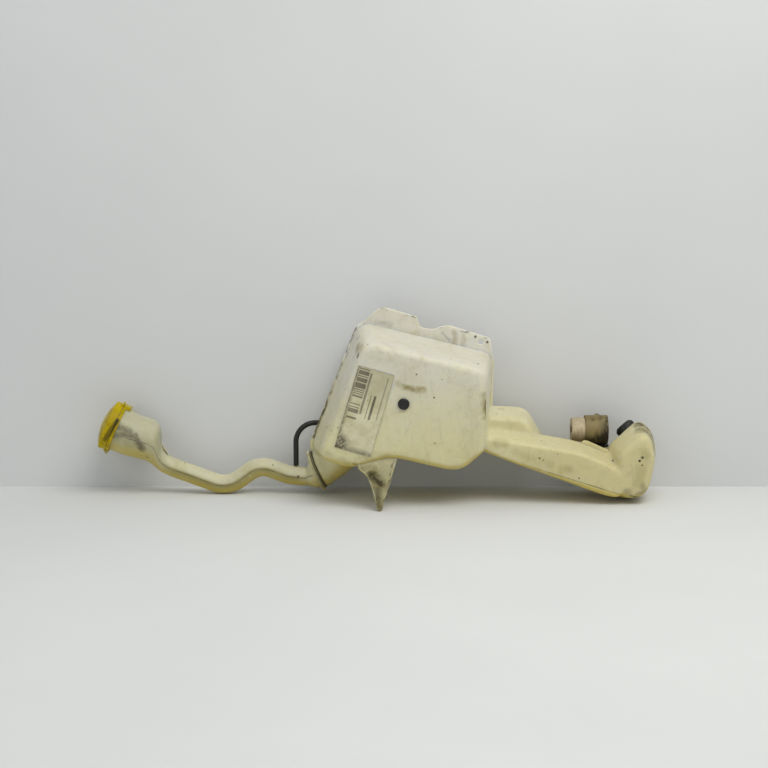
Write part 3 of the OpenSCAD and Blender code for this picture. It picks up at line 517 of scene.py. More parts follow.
def pipe_seam(name, side):
    """Thin parting ridge along one side of the pipe."""
    bm = bmesh.new()
    rings = []
    for top, low, depth in STATIONS[3:-2]:
        mid, up = (top + low) / 2, (top - low).normalized()
        ring = []
        for q in circle(8):
            p = mid + up * 0.5 * math.sin(q)
            ring.append(place(p.x, side * (depth - 0.25 + PIPE_SEAM_PROUD * math.cos(q)), p.y))
        rings.append(ring)
    loft(bm, rings)
    return piece(bm, name)


def cup_web():
    return piece(plate("cup_web", rounded(CUP_WEB, CUP_WEB_CORNERS, 4), 2.2, 0.5), "cup_web")


pipe = filler_pipe()
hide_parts("filler_neck")
spigot = pipe_spigot()
seams = [pipe_seam("pipe_seam_front", -1), pipe_seam("pipe_seam_back", 1)]
pipe_parts = [pipe, spigot, cup_web()]

# Breather hose
HOSE_D = 0.0062
HOSE_END = HOSE_RUN - 0.6


def hose_points():
    """Centre line: up from the pipe's stub, round one bend and straight to the tank's spigot."""
    flat = [(0, HOSE_LOW + (HOSE_BEND_Z - HOSE_LOW) * i / 6) for i in range(7)]
    for i in range(1, 15):
        a = math.pi / 2 * i / 14
        flat.append((HOSE_BEND_R - HOSE_BEND_R * math.cos(a), HOSE_BEND_Z + HOSE_BEND_R * math.sin(a)))
    flat += [(HOSE_BEND_R + (HOSE_END - HOSE_BEND_R) * i / 3, HOSE_TOP) for i in (1, 2, 3)]
    return [place(HOSE_X + s * math.cos(HOSE_TURN), s * math.sin(HOSE_TURN), z) for s, z in flat]


def hose():
    points = hose_points()
    bm = bmesh.new()
    side = Vector((-math.sin(HOSE_TURN), math.cos(HOSE_TURN), 0))
    rings = []
    for i, p in enumerate(points):
        d = (points[min(i + 1, len(points) - 1)] - points[max(i - 1, 0)]).normalized()
        up = d.cross(side)
        rings.append([p + HOSE_D / 2 * (side * math.cos(a) + up * math.sin(a)) for a in circle(28)])
    loft(bm, rings)
    obj = piece(bm, "breather_tube")
    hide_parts("breather_hose")
    return obj


tube = hose()


# Materials
def linear(c):
    """Scene value of an sRGB channel from 0 to 255."""
    c /= 255
    return c / 12.92 if c <= 0.04045 else ((c + 0.055) / 1.055) ** 2.4


def srgb(r, g, b):
    return linear(r), linear(g), linear(b), 1


def shade(colour, share):
    """Colour as sRGB values, made darker or lighter by a share."""
    return srgb(*[min(255, int(c * share)) for c in colour])


class Paint:
    """Small builder of one procedural material on a Principled shader."""

    def __init__(self, name, **sockets):
        self.mat = bpy.data.materials.new(name)
        self.mat.use_nodes = True
        self.tree = self.mat.node_tree
        self.tree.nodes.clear()
        self.out = self.add("ShaderNodeOutputMaterial")
        self.bsdf = self.add("ShaderNodeBsdfPrincipled")
        self.tree.links.new(self.bsdf.outputs[0], self.out.inputs[0])
        for key, value in sockets.items():
            self.bsdf.inputs[key.replace("_", " ")].default_value = value
        coords = self.add("ShaderNodeTexCoord")
        self.p = coords.outputs["Object"]
        self.normal = self.add("ShaderNodeNewGeometry").outputs["Normal"]

    def add(self, kind, **values):
        node = self.tree.nodes.new(kind)
        for key, value in values.items():
            setattr(node, key, value)
        return node

    def link(self, value, socket):
        """Sets a socket to a number or colour, or links another node's output to it."""
        if isinstance(value, bpy.types.NodeSocket):
            self.tree.links.new(value, socket)
        else:
            socket.default_value = value

    def math(self, op, a, b=0.0, clamp=False):
        n = self.add("ShaderNodeMath", operation=op, use_clamp=clamp)
        self.link(a, n.inputs[0])
        self.link(b, n.inputs[1])
        return n.outputs[0]

    def vec(self, op, a, b=(0, 0, 0), scale=None):
        n = self.add("ShaderNodeVectorMath", operation=op)
        self.link(a, n.inputs[0])
        if op != "SCALE":
            self.link(b, n.inputs[1])
        else:
            self.link(scale, n.inputs["Scale"])
        return n.outputs["Value"] if op in ("DOT_PRODUCT", "DISTANCE") else n.outputs["Vector"]

    def axis(self, i, source=None):
        """One component of a vector, by default of the place on the piece."""
        n = self.add("ShaderNodeSeparateXYZ")
        self.link(self.p if source is None else source, n.inputs[0])
        return n.outputs[i]

    def ramp(self, value, lo, hi, a=0.0, b=1.0):
        """a where value is lo, b where it is hi, smooth in between."""
        n = self.add("ShaderNodeMapRange", interpolation_type="SMOOTHSTEP")
        for socket, v in zip(n.inputs, (value, lo, hi, a, b)):
            self.link(v, socket)
        return n.outputs[0]

    def noise(self, scale, detail=3.0, rough=0.55, stretch=None, distort=0.0):
        n = self.add("ShaderNodeTexNoise")
        where = self.p
        if stretch:
            where = self.vec("MULTIPLY", where, stretch)
        self.link(where, n.inputs["Vector"])
        n.inputs["Scale"].default_value = scale
        n.inputs["Detail"].default_value = detail
        n.inputs["Roughness"].default_value = rough
        n.inputs["Distortion"].default_value = distort
        return n.outputs[0]

    def specks(self, scale, size, keep):
        """Sparse round specks: voronoi cells of which only some carry a dot."""
        n = self.add("ShaderNodeTexVoronoi", feature="F1")
        self.link(self.p, n.inputs["Vector"])
        n.inputs["Scale"].default_value = scale
        dot = self.ramp(n.outputs["Distance"], size, size * 0.55)
        pick = self.ramp(self.axis(0, n.outputs["Color"]), keep, keep + 0.01)
        return self.math("MULTIPLY", dot, pick)

    def mix(self, fac, a, b):
        """Colour a where fac is 0, colour b where it is 1."""
        n = self.add("ShaderNodeMix", data_type="RGBA", blend_type="MIX")
        self.link(fac, n.inputs[0])
        self.link(a, n.inputs[6])
        self.link(b, n.inputs[7])
        return n.outputs[2]

    def spot(self, at, r, soft=0.5):
        """1 round a point in millimetres of the part's frame, fading to 0 at r millimetres from it."""
        d = self.vec("DISTANCE", self.p, tuple(c * MM for c in at))
        return self.ramp(d, r * MM, r * MM * (1 - soft))

    def streak(self, a, b, r, soft=0.7):
        """1 along a line between two points in millimetres, fading to 0 at r millimetres from it."""
        a, b = Vector(a) * MM, Vector(b) * MM
        ab = b - a
        away = self.vec("SUBTRACT", self.p, tuple(a))
        way = self.vec("DOT_PRODUCT", away, tuple(ab))
        t = self.math("MULTIPLY", way, 1 / ab.length_squared, clamp=True)
        near = self.vec("SCALE", tuple(ab), scale=t)
        d = self.vec("DISTANCE", away, near)
        return self.ramp(d, r * MM, r * MM * (1 - soft))

    def bump(self, height, strength, distance, base=None):
        n = self.add("ShaderNodeBump")
        n.inputs["Strength"].default_value = strength
        n.inputs["Distance"].default_value = distance
        self.link(height, n.inputs["Height"])
        if base is not None:
            self.link(base, n.inputs["Normal"])
        return n.outputs[0]

    def finish(self, colour, rough, normal):
        self.link(colour, self.bsdf.inputs["Base Color"])
        self.link(rough, self.bsdf.inputs["Roughness"])
        self.link(normal, self.bsdf.inputs["Normal"])
        return self.mat


# Stains on the aged plastic, with a few marks of painted shade among them, in millimetres of the part's
# frame:
# olive streaks and dark streaks, each with its two ends, radius and strength, and dark dots, each with its
# centre and radius
TANK_STAINS = (
    [((25, -53, 145.3), (33, -53, 141.5), 5, 0.7), ((32, -53, 141), (55, -53, 138), 5, 0.85),
     ((122.5, -50.5, 130), (124.4, -47, 108), 8, 0.8), ((-20, -46, 186), (-20, -20, 181), 10, 0.8),
     ((140, -32, 74), (147, -32, 73), 10, 0.4), ((214, -33, 44), (222, -33, 42), 8, 0.35),
     ((-62, -27, 74), (-53, -52, 66), 2.4, 0.6), ((-58, -13, 89), (-48, -51, 91), 2, 0.5),
     ((-53, -52, 65), (-25, -51, 53), 6, 0.35), ((-20, -52, 58), (14, -52, 62), 9, 0.35),
     ((300, -32, 24), (308, -32, 60), 10, 0.3), ((160, -33, 62), (200, -33, 48), 8, 0.25)],
    [((-25, -51, 52.5), (-8, -52, 49), 3, 0.7), ((-48, -49, 57), (-25, -51, 53), 1.6, 0.45),
     ((124.4, -47.7, 123), (124.6, -46.4, 111), 4, 0.8), ((-24, 31, 200), (-53, 31, 122), 2.8, 0.8),
     ((-53, 31, 122), (-74, 31, 68), 3.6, 0.9), ((-20, 4, 191), (-20, 4, 189), 3, 0.8),
     ((-33, 28, 168), (-35, 29, 163), 3.4, 0.9), ((142, 25.5, 103.2), (150, 25, 103), 1.2, 0.7),
     ((306, -12, 86), (320, -12, 74), 12, 0.7), ((320, -12, 74), (321, -18, 66), 9, 0.7),
     ((296, 2, 93), (312, 0, 89), 10, 0.9), ((312, 0, 89), (322, 0, 76), 10, 0.85),
     ((322, 0, 76), (326, -4, 54), 6, 0.8), ((289, -31.6, 17), (292, -31.2, 12), 7, 0.35),
     ((306, -31.6, 22), (309, -31, 16), 7, 0.35), ((293, -30.5, 10), (302, -29, 9.5), 3, 0.85),
     ((299, -31.6, 14), (305, -31.4, 15), 3.6, 0.5)],
    [((305.4, -31.8, 56.2), 2.2), ((302.3, -31.9, 52.4), 2.0), ((305.3, -31.8, 47.3), 1.4),
     ((187.6, -32.7, 55.7), 1.3), ((192, -32.7, 53.5), 1.0), ((274.3, -13.2, 48.7), 2.0),
     ((-19.5, -43.8, 175.8), 5), ((116.8, -30.4, 164.3), 1.8), ((85.5, -34.6, 171.3), 1.2),
     ((46.4, -52.7, 155.6), 1.2), ((66.2, -52.7, 129.3), 1.4), ((67.2, -52.7, 77.1), 1.2)])
EAR_STAINS = (
    [((92, 30.5, 192), (92, 28, 178), 5.5, 0.5), ((102, 30.5, 190), (102, 30.5, 176), 5, 0.55)],
    [((2, 30.3, 205), (17, 30.3, 201), 5, 0.22), ((5, 32, 221), (40, 32, 213.5), 2, 0.6),
     ((40, 32, 213.5), (47, 32, 210.5), 2.4, 0.8), ((47, 32, 210), (51, 32, 200), 1.8, 0.7),
     ((56, 32, 197), (70, 32, 196.5), 1.6, 0.6), ((76, 32, 198.5), (84, 32, 200), 1.6, 0.6),
     ((100, 32, 195), (133, 32, 186), 2, 0.7), ((133, 32, 185), (135, 32, 165), 1.8, 0.6),
     ((78, 30.3, 192), (86, 30.3, 184), 3, 0.25)],
    [((116.7, 30.3, 187.4), 2.2), ((130.7, 30.3, 181.1), 2.0)])
FOOT_STAINS_AND_SHADE = (
    [((-16, -50, 50), (-2, -51, 48), 8, 0.5), ((-2, -55, 38), (5, -56, 30), 15, 0.95),
     ((4, -58, 24), (5, -62, 3), 9, 0.7)],
    [((-3, -54, 39), (6, -55, 32), 12, 0.95), ((4, -55, 32), (4, -57, 20), 9, 0.7),
     # the thin dark line along the blade's right edge, from (21, -49, 56) to (8, -61, 5), is painted shade
     # of its side face
     ((3, -58, 20), (5, -62, 3), 7, 0.75), ((21, -49, 56), (8, -61, 5), 1.6, 0.8),
     ((-2, -56, 27), (3, -62, 4), 2.2, 0.85)],
    [])
PIPE_STAINS_AND_SHADE = (
    # the olive band round the cup's lower side is painted shade, not a stain
    [((-302, 5.5, 68), (-280, 7, 64), 7, 0.25)],
    [((-304, 5, 88), (-286, 7.4, 79), 7, 0.6), ((-312, 4.5, 77), (-280, 6.9, 74), 6, 0.6),
     ((-280, 6.9, 72), (-272, 7.9, 59), 6.5, 0.7), ((-311, 5, 78), (-301, 6, 92), 5, 0.85),
     ((-256, 32, 60), (-246, 32, 46), 3.5, 0.9), ((-80, 22, 49), (-77, 13, 43), 6, 0.4),
     ((-77, 13, 43), (-70, 7, 28), 6, 0.4), ((-70, 7, 28), (-63, 14, 12), 6, 0.4)],
    [((-91.2, 21.1, 22.7), 1.8), ((-120.9, 23.2, 36.1), 1.1), ((-267.1, 13.4, 47.3), 1.4)])

# Colours of the aged plastic, with painted shade and a painted glow among them
LOW_CREAM, HIGH_CREAM = srgb(215, 208, 166), srgb(218, 214, 196)
ARM_YELLOW, EAR_WHITE = srgb(207, 197, 150), srgb(218, 218, 212)
# the pipe's olive is painted shade on its downward side
PIPE_CREAM, PIPE_SHADE_OLIVE, CUP_GREY = srgb(206, 202, 176), srgb(158, 147, 84), srgb(184, 182, 152)
# the underside and bevel yellows are a painted glow of light passing through the plastic
UNDERSIDE_GLOW, BEVEL_GLOW_YELLOW = srgb(196, 176, 76), srgb(206, 186, 92)
AGEING, THIN_PATCH, PALE_PATCH = srgb(186, 176, 128), srgb(172, 162, 108), srgb(228, 226, 208)
FINE_GRIME, SCRATCH = srgb(150, 140, 96), srgb(128, 118, 78)
# the olive stain and dark dirt colours also paint a few marks of shade
OLIVE_STAIN_AND_SHADE, DARK_DIRT_AND_SHADE = srgb(136, 124, 56), srgb(58, 49, 22)
# Thin line along the front of the arm: normal of its plane, and the plane's distance in metres
ARM_LINE_NORMAL, ARM_LINE_AT = (0.2996, 0.0, 0.954), 0.0967


def blown_plastic(name, stain_and_shade_marks, soiled=0.0):
    """Yellowed polyethylene with stains, painted shade and a painted glow; soiled adds dirt all over."""
    m = Paint(name, Subsurface_Weight=0.8, Subsurface_Radius=(1.0, 0.85, 0.4), Subsurface_Scale=0.005,
              Specular_IOR_Level=0.35)
    x, y, z = (m.axis(i) for i in range(3))
    nz = m.axis(2, m.normal)
    cloud = m.noise(16, 4, 0.6)
    drift = m.math("MULTIPLY", m.math("SUBTRACT", cloud, 0.5), 0.09)
    height = m.math("ADD", z, drift)
    colour = m.mix(m.ramp(height, 0.06, 0.175), LOW_CREAM, HIGH_CREAM)
    # the arm and the pipe have yellowed more than the chamber
    arm = m.math("MULTIPLY", m.ramp(m.math("ADD", x, drift), 0.12, 0.20), m.ramp(height, 0.115, 0.05))
    colour = m.mix(m.math("MULTIPLY", arm, 0.85), colour, ARM_YELLOW)
    ears = m.math("MULTIPLY", m.ramp(y, 0.020, 0.030), m.ramp(z, 0.155, 0.17))
    colour = m.mix(m.math("MULTIPLY", ears, 0.7), colour, EAR_WHITE)
    left = m.ramp(x, -0.07, -0.10)
    colour = m.mix(m.math("MULTIPLY", left, 0.7), colour, PIPE_CREAM)
    cup = m.ramp(x, -0.235, -0.262)
    # painted shade: the pipe's downward-facing side is darkened to olive, less so on the cup
    pipe_lower_shade = m.math("MULTIPLY", left, m.ramp(nz, 0.3, 0.02))
    pipe_lower_shade = m.math("MULTIPLY", pipe_lower_shade, m.ramp(cup, 0, 1, 0.95, 0.55))
    colour = m.mix(pipe_lower_shade, colour, PIPE_SHADE_OLIVE)
    colour = m.mix(m.math("MULTIPLY", cup, 0.75), colour, CUP_GREY)
    # painted glow: faces turned down take a warm yellow, standing in for light passing through the plastic
    low = m.ramp(nz, -0.1, -0.7)
    colour = m.mix(m.math("MULTIPLY", low, 0.8), colour, UNDERSIDE_GLOW)
    # lower bevel of the arm, below a thin dark line along its front, in a painted warm glow of light through
    # the plastic
    across = m.math("SUBTRACT", m.vec("DOT_PRODUCT", m.p, ARM_LINE_NORMAL), ARM_LINE_AT)
    along = m.math("MULTIPLY", m.ramp(x, 0.165, 0.20), m.ramp(x, 0.287, 0.275))
    bevel = m.math("MULTIPLY", along, m.ramp(across, 0.0006, -0.0012))
    colour = m.mix(m.math("MULTIPLY", bevel, 0.6), colour, BEVEL_GLOW_YELLOW)
    # uneven ageing and thin wall patches
    colour = m.mix(m.ramp(cloud, 0.45, 0.72, 0, 0.4), colour, AGEING)
    patch = m.noise(38, 5, 0.65, distort=0.8)
    colour = m.mix(m.ramp(patch, 0.52, 0.75, 0, 0.3), colour, THIN_PATCH)
    colour = m.mix(m.ramp(patch, 0.46, 0.25, 0, 0.3), colour, PALE_PATCH)
    fine = m.noise(120, 5, 0.7)
    colour = m.mix(m.ramp(fine, 0.5, 0.75, 0, 0.18), colour, FINE_GRIME)
    # hairline scratches along the faces
    hair = m.noise(60, 2, 0.5, stretch=(1, 1, 0.12), distort=1.5)
    line = m.math("MULTIPLY", m.ramp(hair, 0.492, 0.499), m.ramp(hair, 0.508, 0.501))
    colour = m.mix(m.math("MULTIPLY", line, 0.16), colour, SCRATCH)
    # dirt and painted shade: blobs and streaks where dirt has settled, and a few streaks of painted shade
    smear = m.ramp(m.noise(75, 4, 0.6), 0.3, 0.65, 0.35, 1)
    grit = m.ramp(m.noise(210, 4, 0.75), 0.40, 0.62)

    def gather(marks):
        total = 0.0
        for a, b, r, k in marks:
            total = m.math("MAXIMUM", total, m.math("MULTIPLY", m.streak(a, b, r, 0.85), k))
        return total

    # ragged edges: the stains are laid on a place that wanders by a millimetre or two
    wander = m.add("ShaderNodeTexNoise")
    m.link(m.p, wander.inputs["Vector"])
    wander.inputs["Scale"].default_value = 85
    wander.inputs["Detail"].default_value = 2
    true_place = m.p
    astray = m.vec("SUBTRACT", wander.outputs["Color"], (0.5, 0.5, 0.5))
    m.p = m.vec("ADD", m.p, m.vec("SCALE", astray, scale=0.008))
    olive, dirt_and_shade = gather(stain_and_shade_marks[0]), gather(stain_and_shade_marks[1])
    m.p = true_place
    colour = m.mix(m.math("MULTIPLY", olive, smear), colour, OLIVE_STAIN_AND_SHADE)
    for at, r in stain_and_shade_marks[2]:
        dirt_and_shade = m.math("MAXIMUM", dirt_and_shade, m.spot(at, r))
    line = m.math("MULTIPLY", m.ramp(across, 0.001, 0.0003), m.ramp(across, -0.0008, 0.0))
    seam = m.math("MULTIPLY", along, line)
    dirt_and_shade = m.math("MAXIMUM", dirt_and_shade, m.math("MULTIPLY", seam, m.ramp(patch, 0.35, 0.55, 0.25, 0.7)))
    dirt_and_shade = m.math("MULTIPLY", dirt_and_shade, m.ramp(grit, 0.0, 0.75, 0.7, 1))
    dirt_and_shade = m.math("MAXIMUM", dirt_and_shade, m.math("MULTIPLY", m.specks(120, 0.16, 0.93), 0.75))
    if soiled:
        dirt_and_shade = m.math("MAXIMUM", dirt_and_shade, m.ramp(m.noise(90, 4), 0.35, 0.6, soiled * 0.55, soiled))
    colour = m.mix(dirt_and_shade, colour, DARK_DIRT_AND_SHADE)
    rough = m.math("ADD", m.ramp(fine, 0.3, 0.7, 0.36, 0.5), m.math("MULTIPLY", dirt_and_shade, 0.3))
    normal = m.bump(m.noise(420, 2), 0.12, 0.0004)
    normal = m.bump(m.math("ADD", cloud, m.math("MULTIPLY", patch, 0.5)), 0.3, 0.002, normal)
    return m.finish(colour, rough, normal)


def rubber(name="black_rubber", base=(27, 28, 25), dusty=(78, 76, 66)):
    m = Paint(name, Specular_IOR_Level=0.4)
    dust = m.ramp(m.noise(90, 5, 0.7), 0.5, 0.8, 0, 0.5)
    colour = m.mix(dust, srgb(*base), srgb(*dusty))
    rough = m.ramp(m.noise(60, 3), 0.3, 0.7, 0.42, 0.6)
    return m.finish(colour, rough, m.bump(m.noise(900, 2), 0.15, 0.0002))


def cap_yellow(name, darkening_level):
    m = Paint(name, Subsurface_Weight=0.1, Subsurface_Radius=(1.0, 0.7, 0.1), Subsurface_Scale=0.002,
              Specular_IOR_Level=0.15)
    colour = m.mix(m.ramp(m.noise(40, 3), 0.35, 0.7), srgb(196, 175, 0), srgb(174, 150, 0))
    darkening = m.ramp(m.noise(130, 5, 0.7), 0.62 - 0.2 * darkening_level, 0.78 - 0.1 * darkening_level)
    # dark wedge in the gap between the lid and the collar
    low, high = m.streak((-316, 4, 68), (-306, 3, 84), 4.5), m.streak((-306, 4, 84), (-300, 6, 93), 4)
    wedge = m.math("MULTIPLY", m.math("MAXIMUM", low, high), darkening_level)
    darkening = m.math("MAXIMUM", m.math("MULTIPLY", darkening, 0.5 * darkening_level), wedge)
    colour = m.mix(darkening, colour, srgb(58, 50, 20))
    rough = m.ramp(m.noise(80, 4), 0.3, 0.7, 0.28, 0.45)
    return m.finish(colour, rough, m.bump(m.noise(500, 2), 0.06, 0.0003))


def pump_plastic(name, light, dark, darkening_level):
    m = Paint(name, Specular_IOR_Level=0.4)
    colour = m.mix(m.ramp(m.noise(55, 4), 0.35, 0.7), srgb(*light), shade(light, 0.86))
    runs = m.noise(85, 5, 0.65, stretch=(1, 1, 0.2), distort=0.6)
    # the lower part is darkened for painted shade under the pump together with dirt; the right end carries
    # dirt
    low = m.ramp(m.axis(2), 0.088, 0.064)
    right = m.ramp(m.axis(0), 0.250, 0.272)
    darkening = m.math("ADD", m.math("MULTIPLY", low, 0.28), m.math("MULTIPLY", right, 0.14))
    darkening = m.math("ADD", darkening, runs)
    darkening = m.math("MULTIPLY", m.ramp(darkening, 0.52, 0.80), darkening_level, clamp=True)
    colour = m.mix(darkening, colour, srgb(*dark))
    return m.finish(colour, m.ramp(runs, 0.3, 0.7, 0.45, 0.75), m.bump(m.noise(300, 4), 0.15, 0.0004))


def metal(name, colour, rough, spin=(1, 1, 1), tone=0.75):
    m = Paint(name, Metallic=1.0)
    brushed = m.noise(700, 3, 0.6, stretch=spin)
    dark = tuple(c * tone for c in colour)
    col = m.mix(m.ramp(brushed, 0.3, 0.7), srgb(*colour), srgb(*dark))
    gloss = m.ramp(m.noise(160, 3), 0.3, 0.7, rough * 0.8, rough * 1.3)
    return m.finish(col, gloss, m.bump(brushed, 0.05, 0.0002))


def moulded(name, colour, rough=0.5):
    m = Paint(name, Specular_IOR_Level=0.4)
    col = m.mix(m.ramp(m.noise(150, 4), 0.35, 0.7), srgb(*colour), shade(colour, 0.84))
    gloss = m.ramp(m.noise(90, 3), 0.3, 0.7, rough * 0.85, rough * 1.15)
    return m.finish(col, gloss, m.bump(m.noise(700, 2), 0.1, 0.0002))


# Label: centre in metres of the part's frame, turn, and half its width and height
LABEL_AT, LABEL_TURN = (-0.012, -0.0532, 0.1135), math.radians(-16.4)
LABEL_HALF_U, LABEL_HALF_V = 0.021, 0.0485


def label_film():
    """Faded sticker with plain bars and fields, soiled along its left and lower edges."""
    m = Paint("label_film", Specular_IOR_Level=0.35)
    shift = m.vec("SUBTRACT", m.p, LABEL_AT)
    turn = m.add("ShaderNodeVectorRotate", rotation_type="Y_AXIS")
    m.link(shift, turn.inputs["Vector"])
    turn.inputs["Angle"].default_value = LABEL_TURN
    u, v = m.axis(0, turn.outputs[0]), m.axis(2, turn.outputs[0])
    paper = m.mix(m.ramp(m.noise(70, 4, 0.65), 0.35, 0.75), srgb(212, 206, 174), srgb(190, 182, 144))
    paper = m.mix(m.ramp(v, 0.0, 0.03, 0, 0.4), paper, srgb(150, 144, 112))

    def window(u0, u1, v0, v1, soft=0.0004):
        edges = [m.ramp(u, u0 - soft, u0 + soft), m.ramp(u, u1 + soft, u1 - soft),
                 m.ramp(v, v0 - soft, v0 + soft), m.ramp(v, v1 + soft, v1 - soft)]
        out = edges[0]
        for e in edges[1:]:
            out = m.math("MULTIPLY", out, e)
        return out

    def bars(coord, pitch, fill):
        n = m.add("ShaderNodeTexWhiteNoise", noise_dimensions="1D")
        m.link(m.math("FLOOR", m.math("MULTIPLY", coord, 1 / pitch)), n.inputs["W"])
        return m.math("LESS_THAN", n.outputs["Value"], fill)

    dense = m.math("MULTIPLY", window(-0.0185, -0.0065, 0.012, 0.047), bars(v, 0.0012, 0.62))
    small = m.math("MULTIPLY", window(-0.0185, -0.0070, -0.012, 0.010), bars(v, 0.0012, 0.5))
    codes = m.math("MULTIPLY", window(0.002, 0.0105, -0.008, 0.020), bars(u, 0.0014, 0.55))
    field = m.math("MULTIPLY", window(-0.0055, -0.0030, -0.004, 0.044), 0.75)
    rule = m.math("MULTIPLY", window(0.0145, 0.0160, -0.006, 0.044), 0.6)
    ink = dense
    for part in (small, codes, field, rule):
        ink = m.math("MAXIMUM", ink, part)
    faded = m.ramp(m.noise(28, 2), 0.3, 0.7, 0.65, 0.9)
    colour = m.mix(m.math("MULTIPLY", ink, faded), paper, srgb(66, 60, 46))
    edge = m.math("MAXIMUM", m.ramp(u, -0.0165, -LABEL_HALF_U), m.ramp(v, -0.040, -LABEL_HALF_V))
    corner = m.spot((-45, -53, 76), 19, 0.6)
    soil = m.math("MAXIMUM", m.math("MULTIPLY", edge, 0.7), corner)
    rim_u = m.ramp(m.math("ABSOLUTE", u), 0.0203, LABEL_HALF_U)
    rim_v = m.ramp(m.math("ABSOLUTE", v), 0.0478, LABEL_HALF_V)
    rim = m.math("MAXIMUM", rim_u, rim_v)
    soil = m.math("MAXIMUM", soil, m.math("MULTIPLY", rim, 0.6))
    soil = m.math("MULTIPLY", soil, m.ramp(m.noise(180, 5, 0.75), 0.3, 0.6, 0.35, 1))
    soil = m.math("MAXIMUM", soil, m.math("MULTIPLY", m.specks(260, 0.2, 0.8), 0.5))
    colour = m.mix(soil, colour, srgb(58, 50, 28))
    return m.finish(colour, m.ramp(m.noise(60, 3), 0.3, 0.7, 0.4, 0.6), m.bump(m.noise(45, 3), 0.3, 0.001))


def dress(objs, material):
    for o in objs:
        o.data.materials.clear()
        o.data.materials.append(material)


def solids(*names):
    return [nodes[n] for n in names]


dress(seams, blown_plastic("soiled_seam", PIPE_STAINS_AND_SHADE, 0.75))
dress(tank_parts + solids("tank_front", "tank_back", "arm_front", "arm_back"),
      blown_plastic("aged_polyethylene", TANK_STAINS))
dress([ears] + solids("mount_ear"), blown_plastic("aged_ears", EAR_STAINS))
dress(foot_parts, blown_plastic("aged_foot", FOOT_STAINS_AND_SHADE, 0.3))
dress(pipe_parts + solids("filler_neck"), blown_plastic("aged_pipe", PIPE_STAINS_AND_SHADE))
dress([tube] + solids("breather_hose", "front_plug", "sump_plug", "pump_grommet", "cap_gasket",
                      "shaft_seal"), rubber())
dress(solids("neck_seal"), rubber("aged_seal", (112, 106, 80), (158, 150, 122)))
dress(solids("cap_lid"), cap_yellow("cap_yellow", 0.7))
dress(solids("cap_collar"), cap_yellow("collar_yellow", 1.0))
dress(solids("label"), label_film())
dress(solids("pump_end_cap"), pump_plastic("pump_end_plastic", (197, 181, 147), (104, 86, 58), 0.6))
dress(solids("pump_housing", "pump_cover"),
      pump_plastic("pump_body_plastic", (132, 117, 72), (36, 27, 14), 1.0))
dress(solids("suction_plate"), moulded("plate_plastic", (120, 112, 96)))
dress(solids("end_bell"), moulded("bell_plastic", (70, 68, 64)))
dress(solids("impeller"), moulded("impeller_plastic", (196, 190, 176)))
dress(solids("magnets"), moulded("ferrite", (56, 55, 58), 0.6))
dress(solids("brushes"), moulded("carbon", (40, 40, 42), 0.45))
dress(solids("hinge_pin", "motor_can", "motor_shaft"), metal("bright_steel", (176, 178, 182), 0.3))
dress(solids("armature_core"), metal("core_steel", (120, 122, 126), 0.45, (1, 40, 40)))
dress(solids("winding"), metal("winding_copper", (196, 118, 66), 0.35, (0.2, 6, 6), 0.6))
dress(solids("commutator"), metal("commutator_copper", (200, 130, 78), 0.3, (0.1, 5, 5), 0.7))
dress(solids("pump_terminals"), metal("contact_brass", (200, 170, 96), 0.3))
dress(solids("front_bush", "rear_bush"), metal("bush_bronze", (176, 132, 80), 0.4))

# Width of the softened edges in metres
EDGES = {"cap_lid": 0.0006, "cap_collar": 0.0005, "pump_housing": 0.0008, "pump_end_cap": 0.0008,
         "pump_cover": 0.0005, "front_plug": 0.0005, "sump_plug": 0.0008, "neck_seal": 0.0005}
for name, width in EDGES.items():
    soften(nodes[name], width)


# Stage, light and camera
def sheet_mat(name, colour, see_through):
    """Plain paper; see_through leaves it clear from behind, for the views from the back."""
    m = Paint(name, Roughness=0.85, Specular_IOR_Level=0.1)
    col = m.mix(m.ramp(m.noise(2.2, 3), 0.3, 0.7), srgb(*colour), shade(colour, 1.02))
    m.finish(col, m.ramp(m.noise(8, 3), 0.3, 0.7, 0.8, 0.9), m.bump(m.noise(90, 3), 0.05, 0.001))
    if see_through:
        clear = m.add("ShaderNodeBsdfTransparent")
        pick = m.add("ShaderNodeMixShader")
        back = m.add("ShaderNodeNewGeometry").outputs["Backfacing"]
        m.link(back, pick.inputs[0])
        m.link(m.bsdf.outputs[0], pick.inputs[1])
        m.link(clear.outputs[0], pick.inputs[2])
        m.link(pick.outputs[0], m.out.inputs[0])
    return m.mat


def sheet(name, corners, material):
    mesh = bpy.data.meshes.new(name)
    mesh.from_pydata(corners, [], [(0, 1, 2, 3)])
    obj = bpy.data.objects.new(name, mesh)
    scene.collection.objects.link(obj)
    obj.data.materials.append(material)


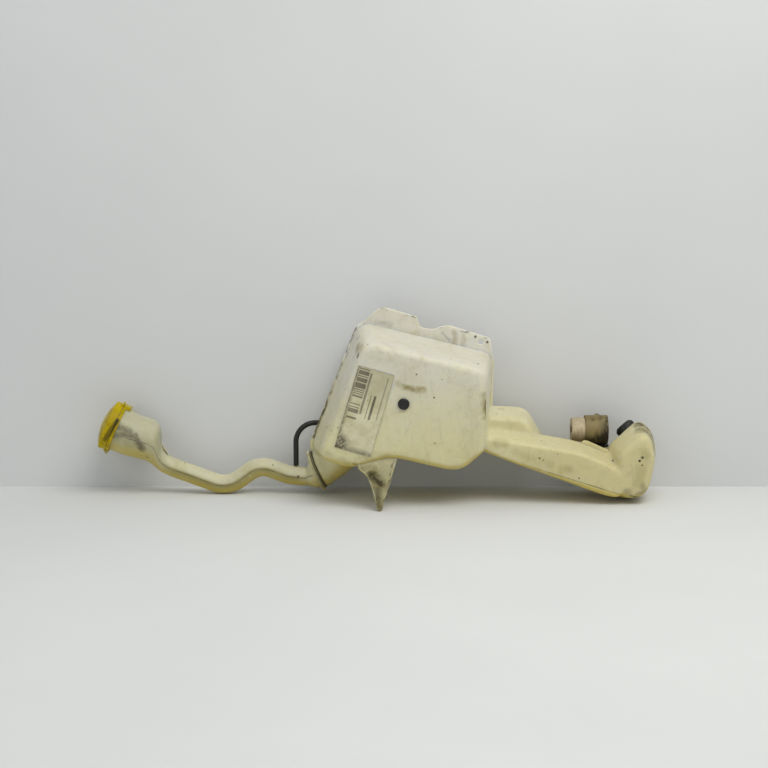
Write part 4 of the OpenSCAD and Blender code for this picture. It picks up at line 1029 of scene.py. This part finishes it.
# Floor and wall, in metres
HALF_WIDTH, FLOOR_FRONT = 3, -3.5
WALL_Y, WALL_TOP = 0.069, 2.4
LEFT_FOOT, RIGHT_FOOT = (-HALF_WIDTH, WALL_Y, 0), (HALF_WIDTH, WALL_Y, 0)
sheet("floor", [(-HALF_WIDTH, FLOOR_FRONT, 0), (HALF_WIDTH, FLOOR_FRONT, 0), RIGHT_FOOT, LEFT_FOOT],
      sheet_mat("floor_paper", (218, 219, 217), False))
sheet("backdrop", [LEFT_FOOT, RIGHT_FOOT, (HALF_WIDTH, WALL_Y, WALL_TOP), (-HALF_WIDTH, WALL_Y, WALL_TOP)],
      sheet_mat("wall_paper", (214, 215, 214), True))


def area_light(name, at, target, size, power, colour):
    data = bpy.data.lights.new(name, "AREA")
    data.shape = "RECTANGLE"
    data.size, data.size_y = size
    data.energy = power
    data.color = colour
    obj = bpy.data.objects.new(name, data)
    scene.collection.objects.link(obj)
    obj.location = at
    obj.rotation_euler = (Vector(target) - Vector(at)).to_track_quat("-Z", "Y").to_euler()


area_light("key", at=(0.55, -0.85, 1.55), target=(0.05, 0, 0.1), size=(1.5, 1.0), power=18,
           colour=(1.0, 0.985, 0.95))
area_light("fill", at=(-1.4, -1.6, 0.9), target=(0, 0, 0.1), size=(1.2, 1.2), power=4,
           colour=(0.95, 0.98, 1.0))
world = bpy.data.worlds.new("studio")
world.use_nodes = True
background = world.node_tree.nodes["Background"]
background.inputs["Color"].default_value = (0.93, 0.96, 1.0, 1)
background.inputs["Strength"].default_value = 0.45
scene.world = world
scene.view_settings.view_transform = "Standard"

# The photo's width and the focal length taken for it, in pixels; the camera's place in metres and how far it
# looks down in degrees
PHOTO_PIXELS, FOCAL_PIXELS = 768, 1650
CAMERA_AT, CAMERA_DOWN = (0.00994, -1.8816, 0.4344), 9
SENSOR = 36
camera = bpy.data.cameras.new("camera")
camera.sensor_width = SENSOR
camera.lens = SENSOR * FOCAL_PIXELS / PHOTO_PIXELS
view = bpy.data.objects.new("camera", camera)
scene.collection.objects.link(view)
view.location = CAMERA_AT
view.rotation_euler = (math.radians(90 - CAMERA_DOWN), 0, 0)
scene.camera = view
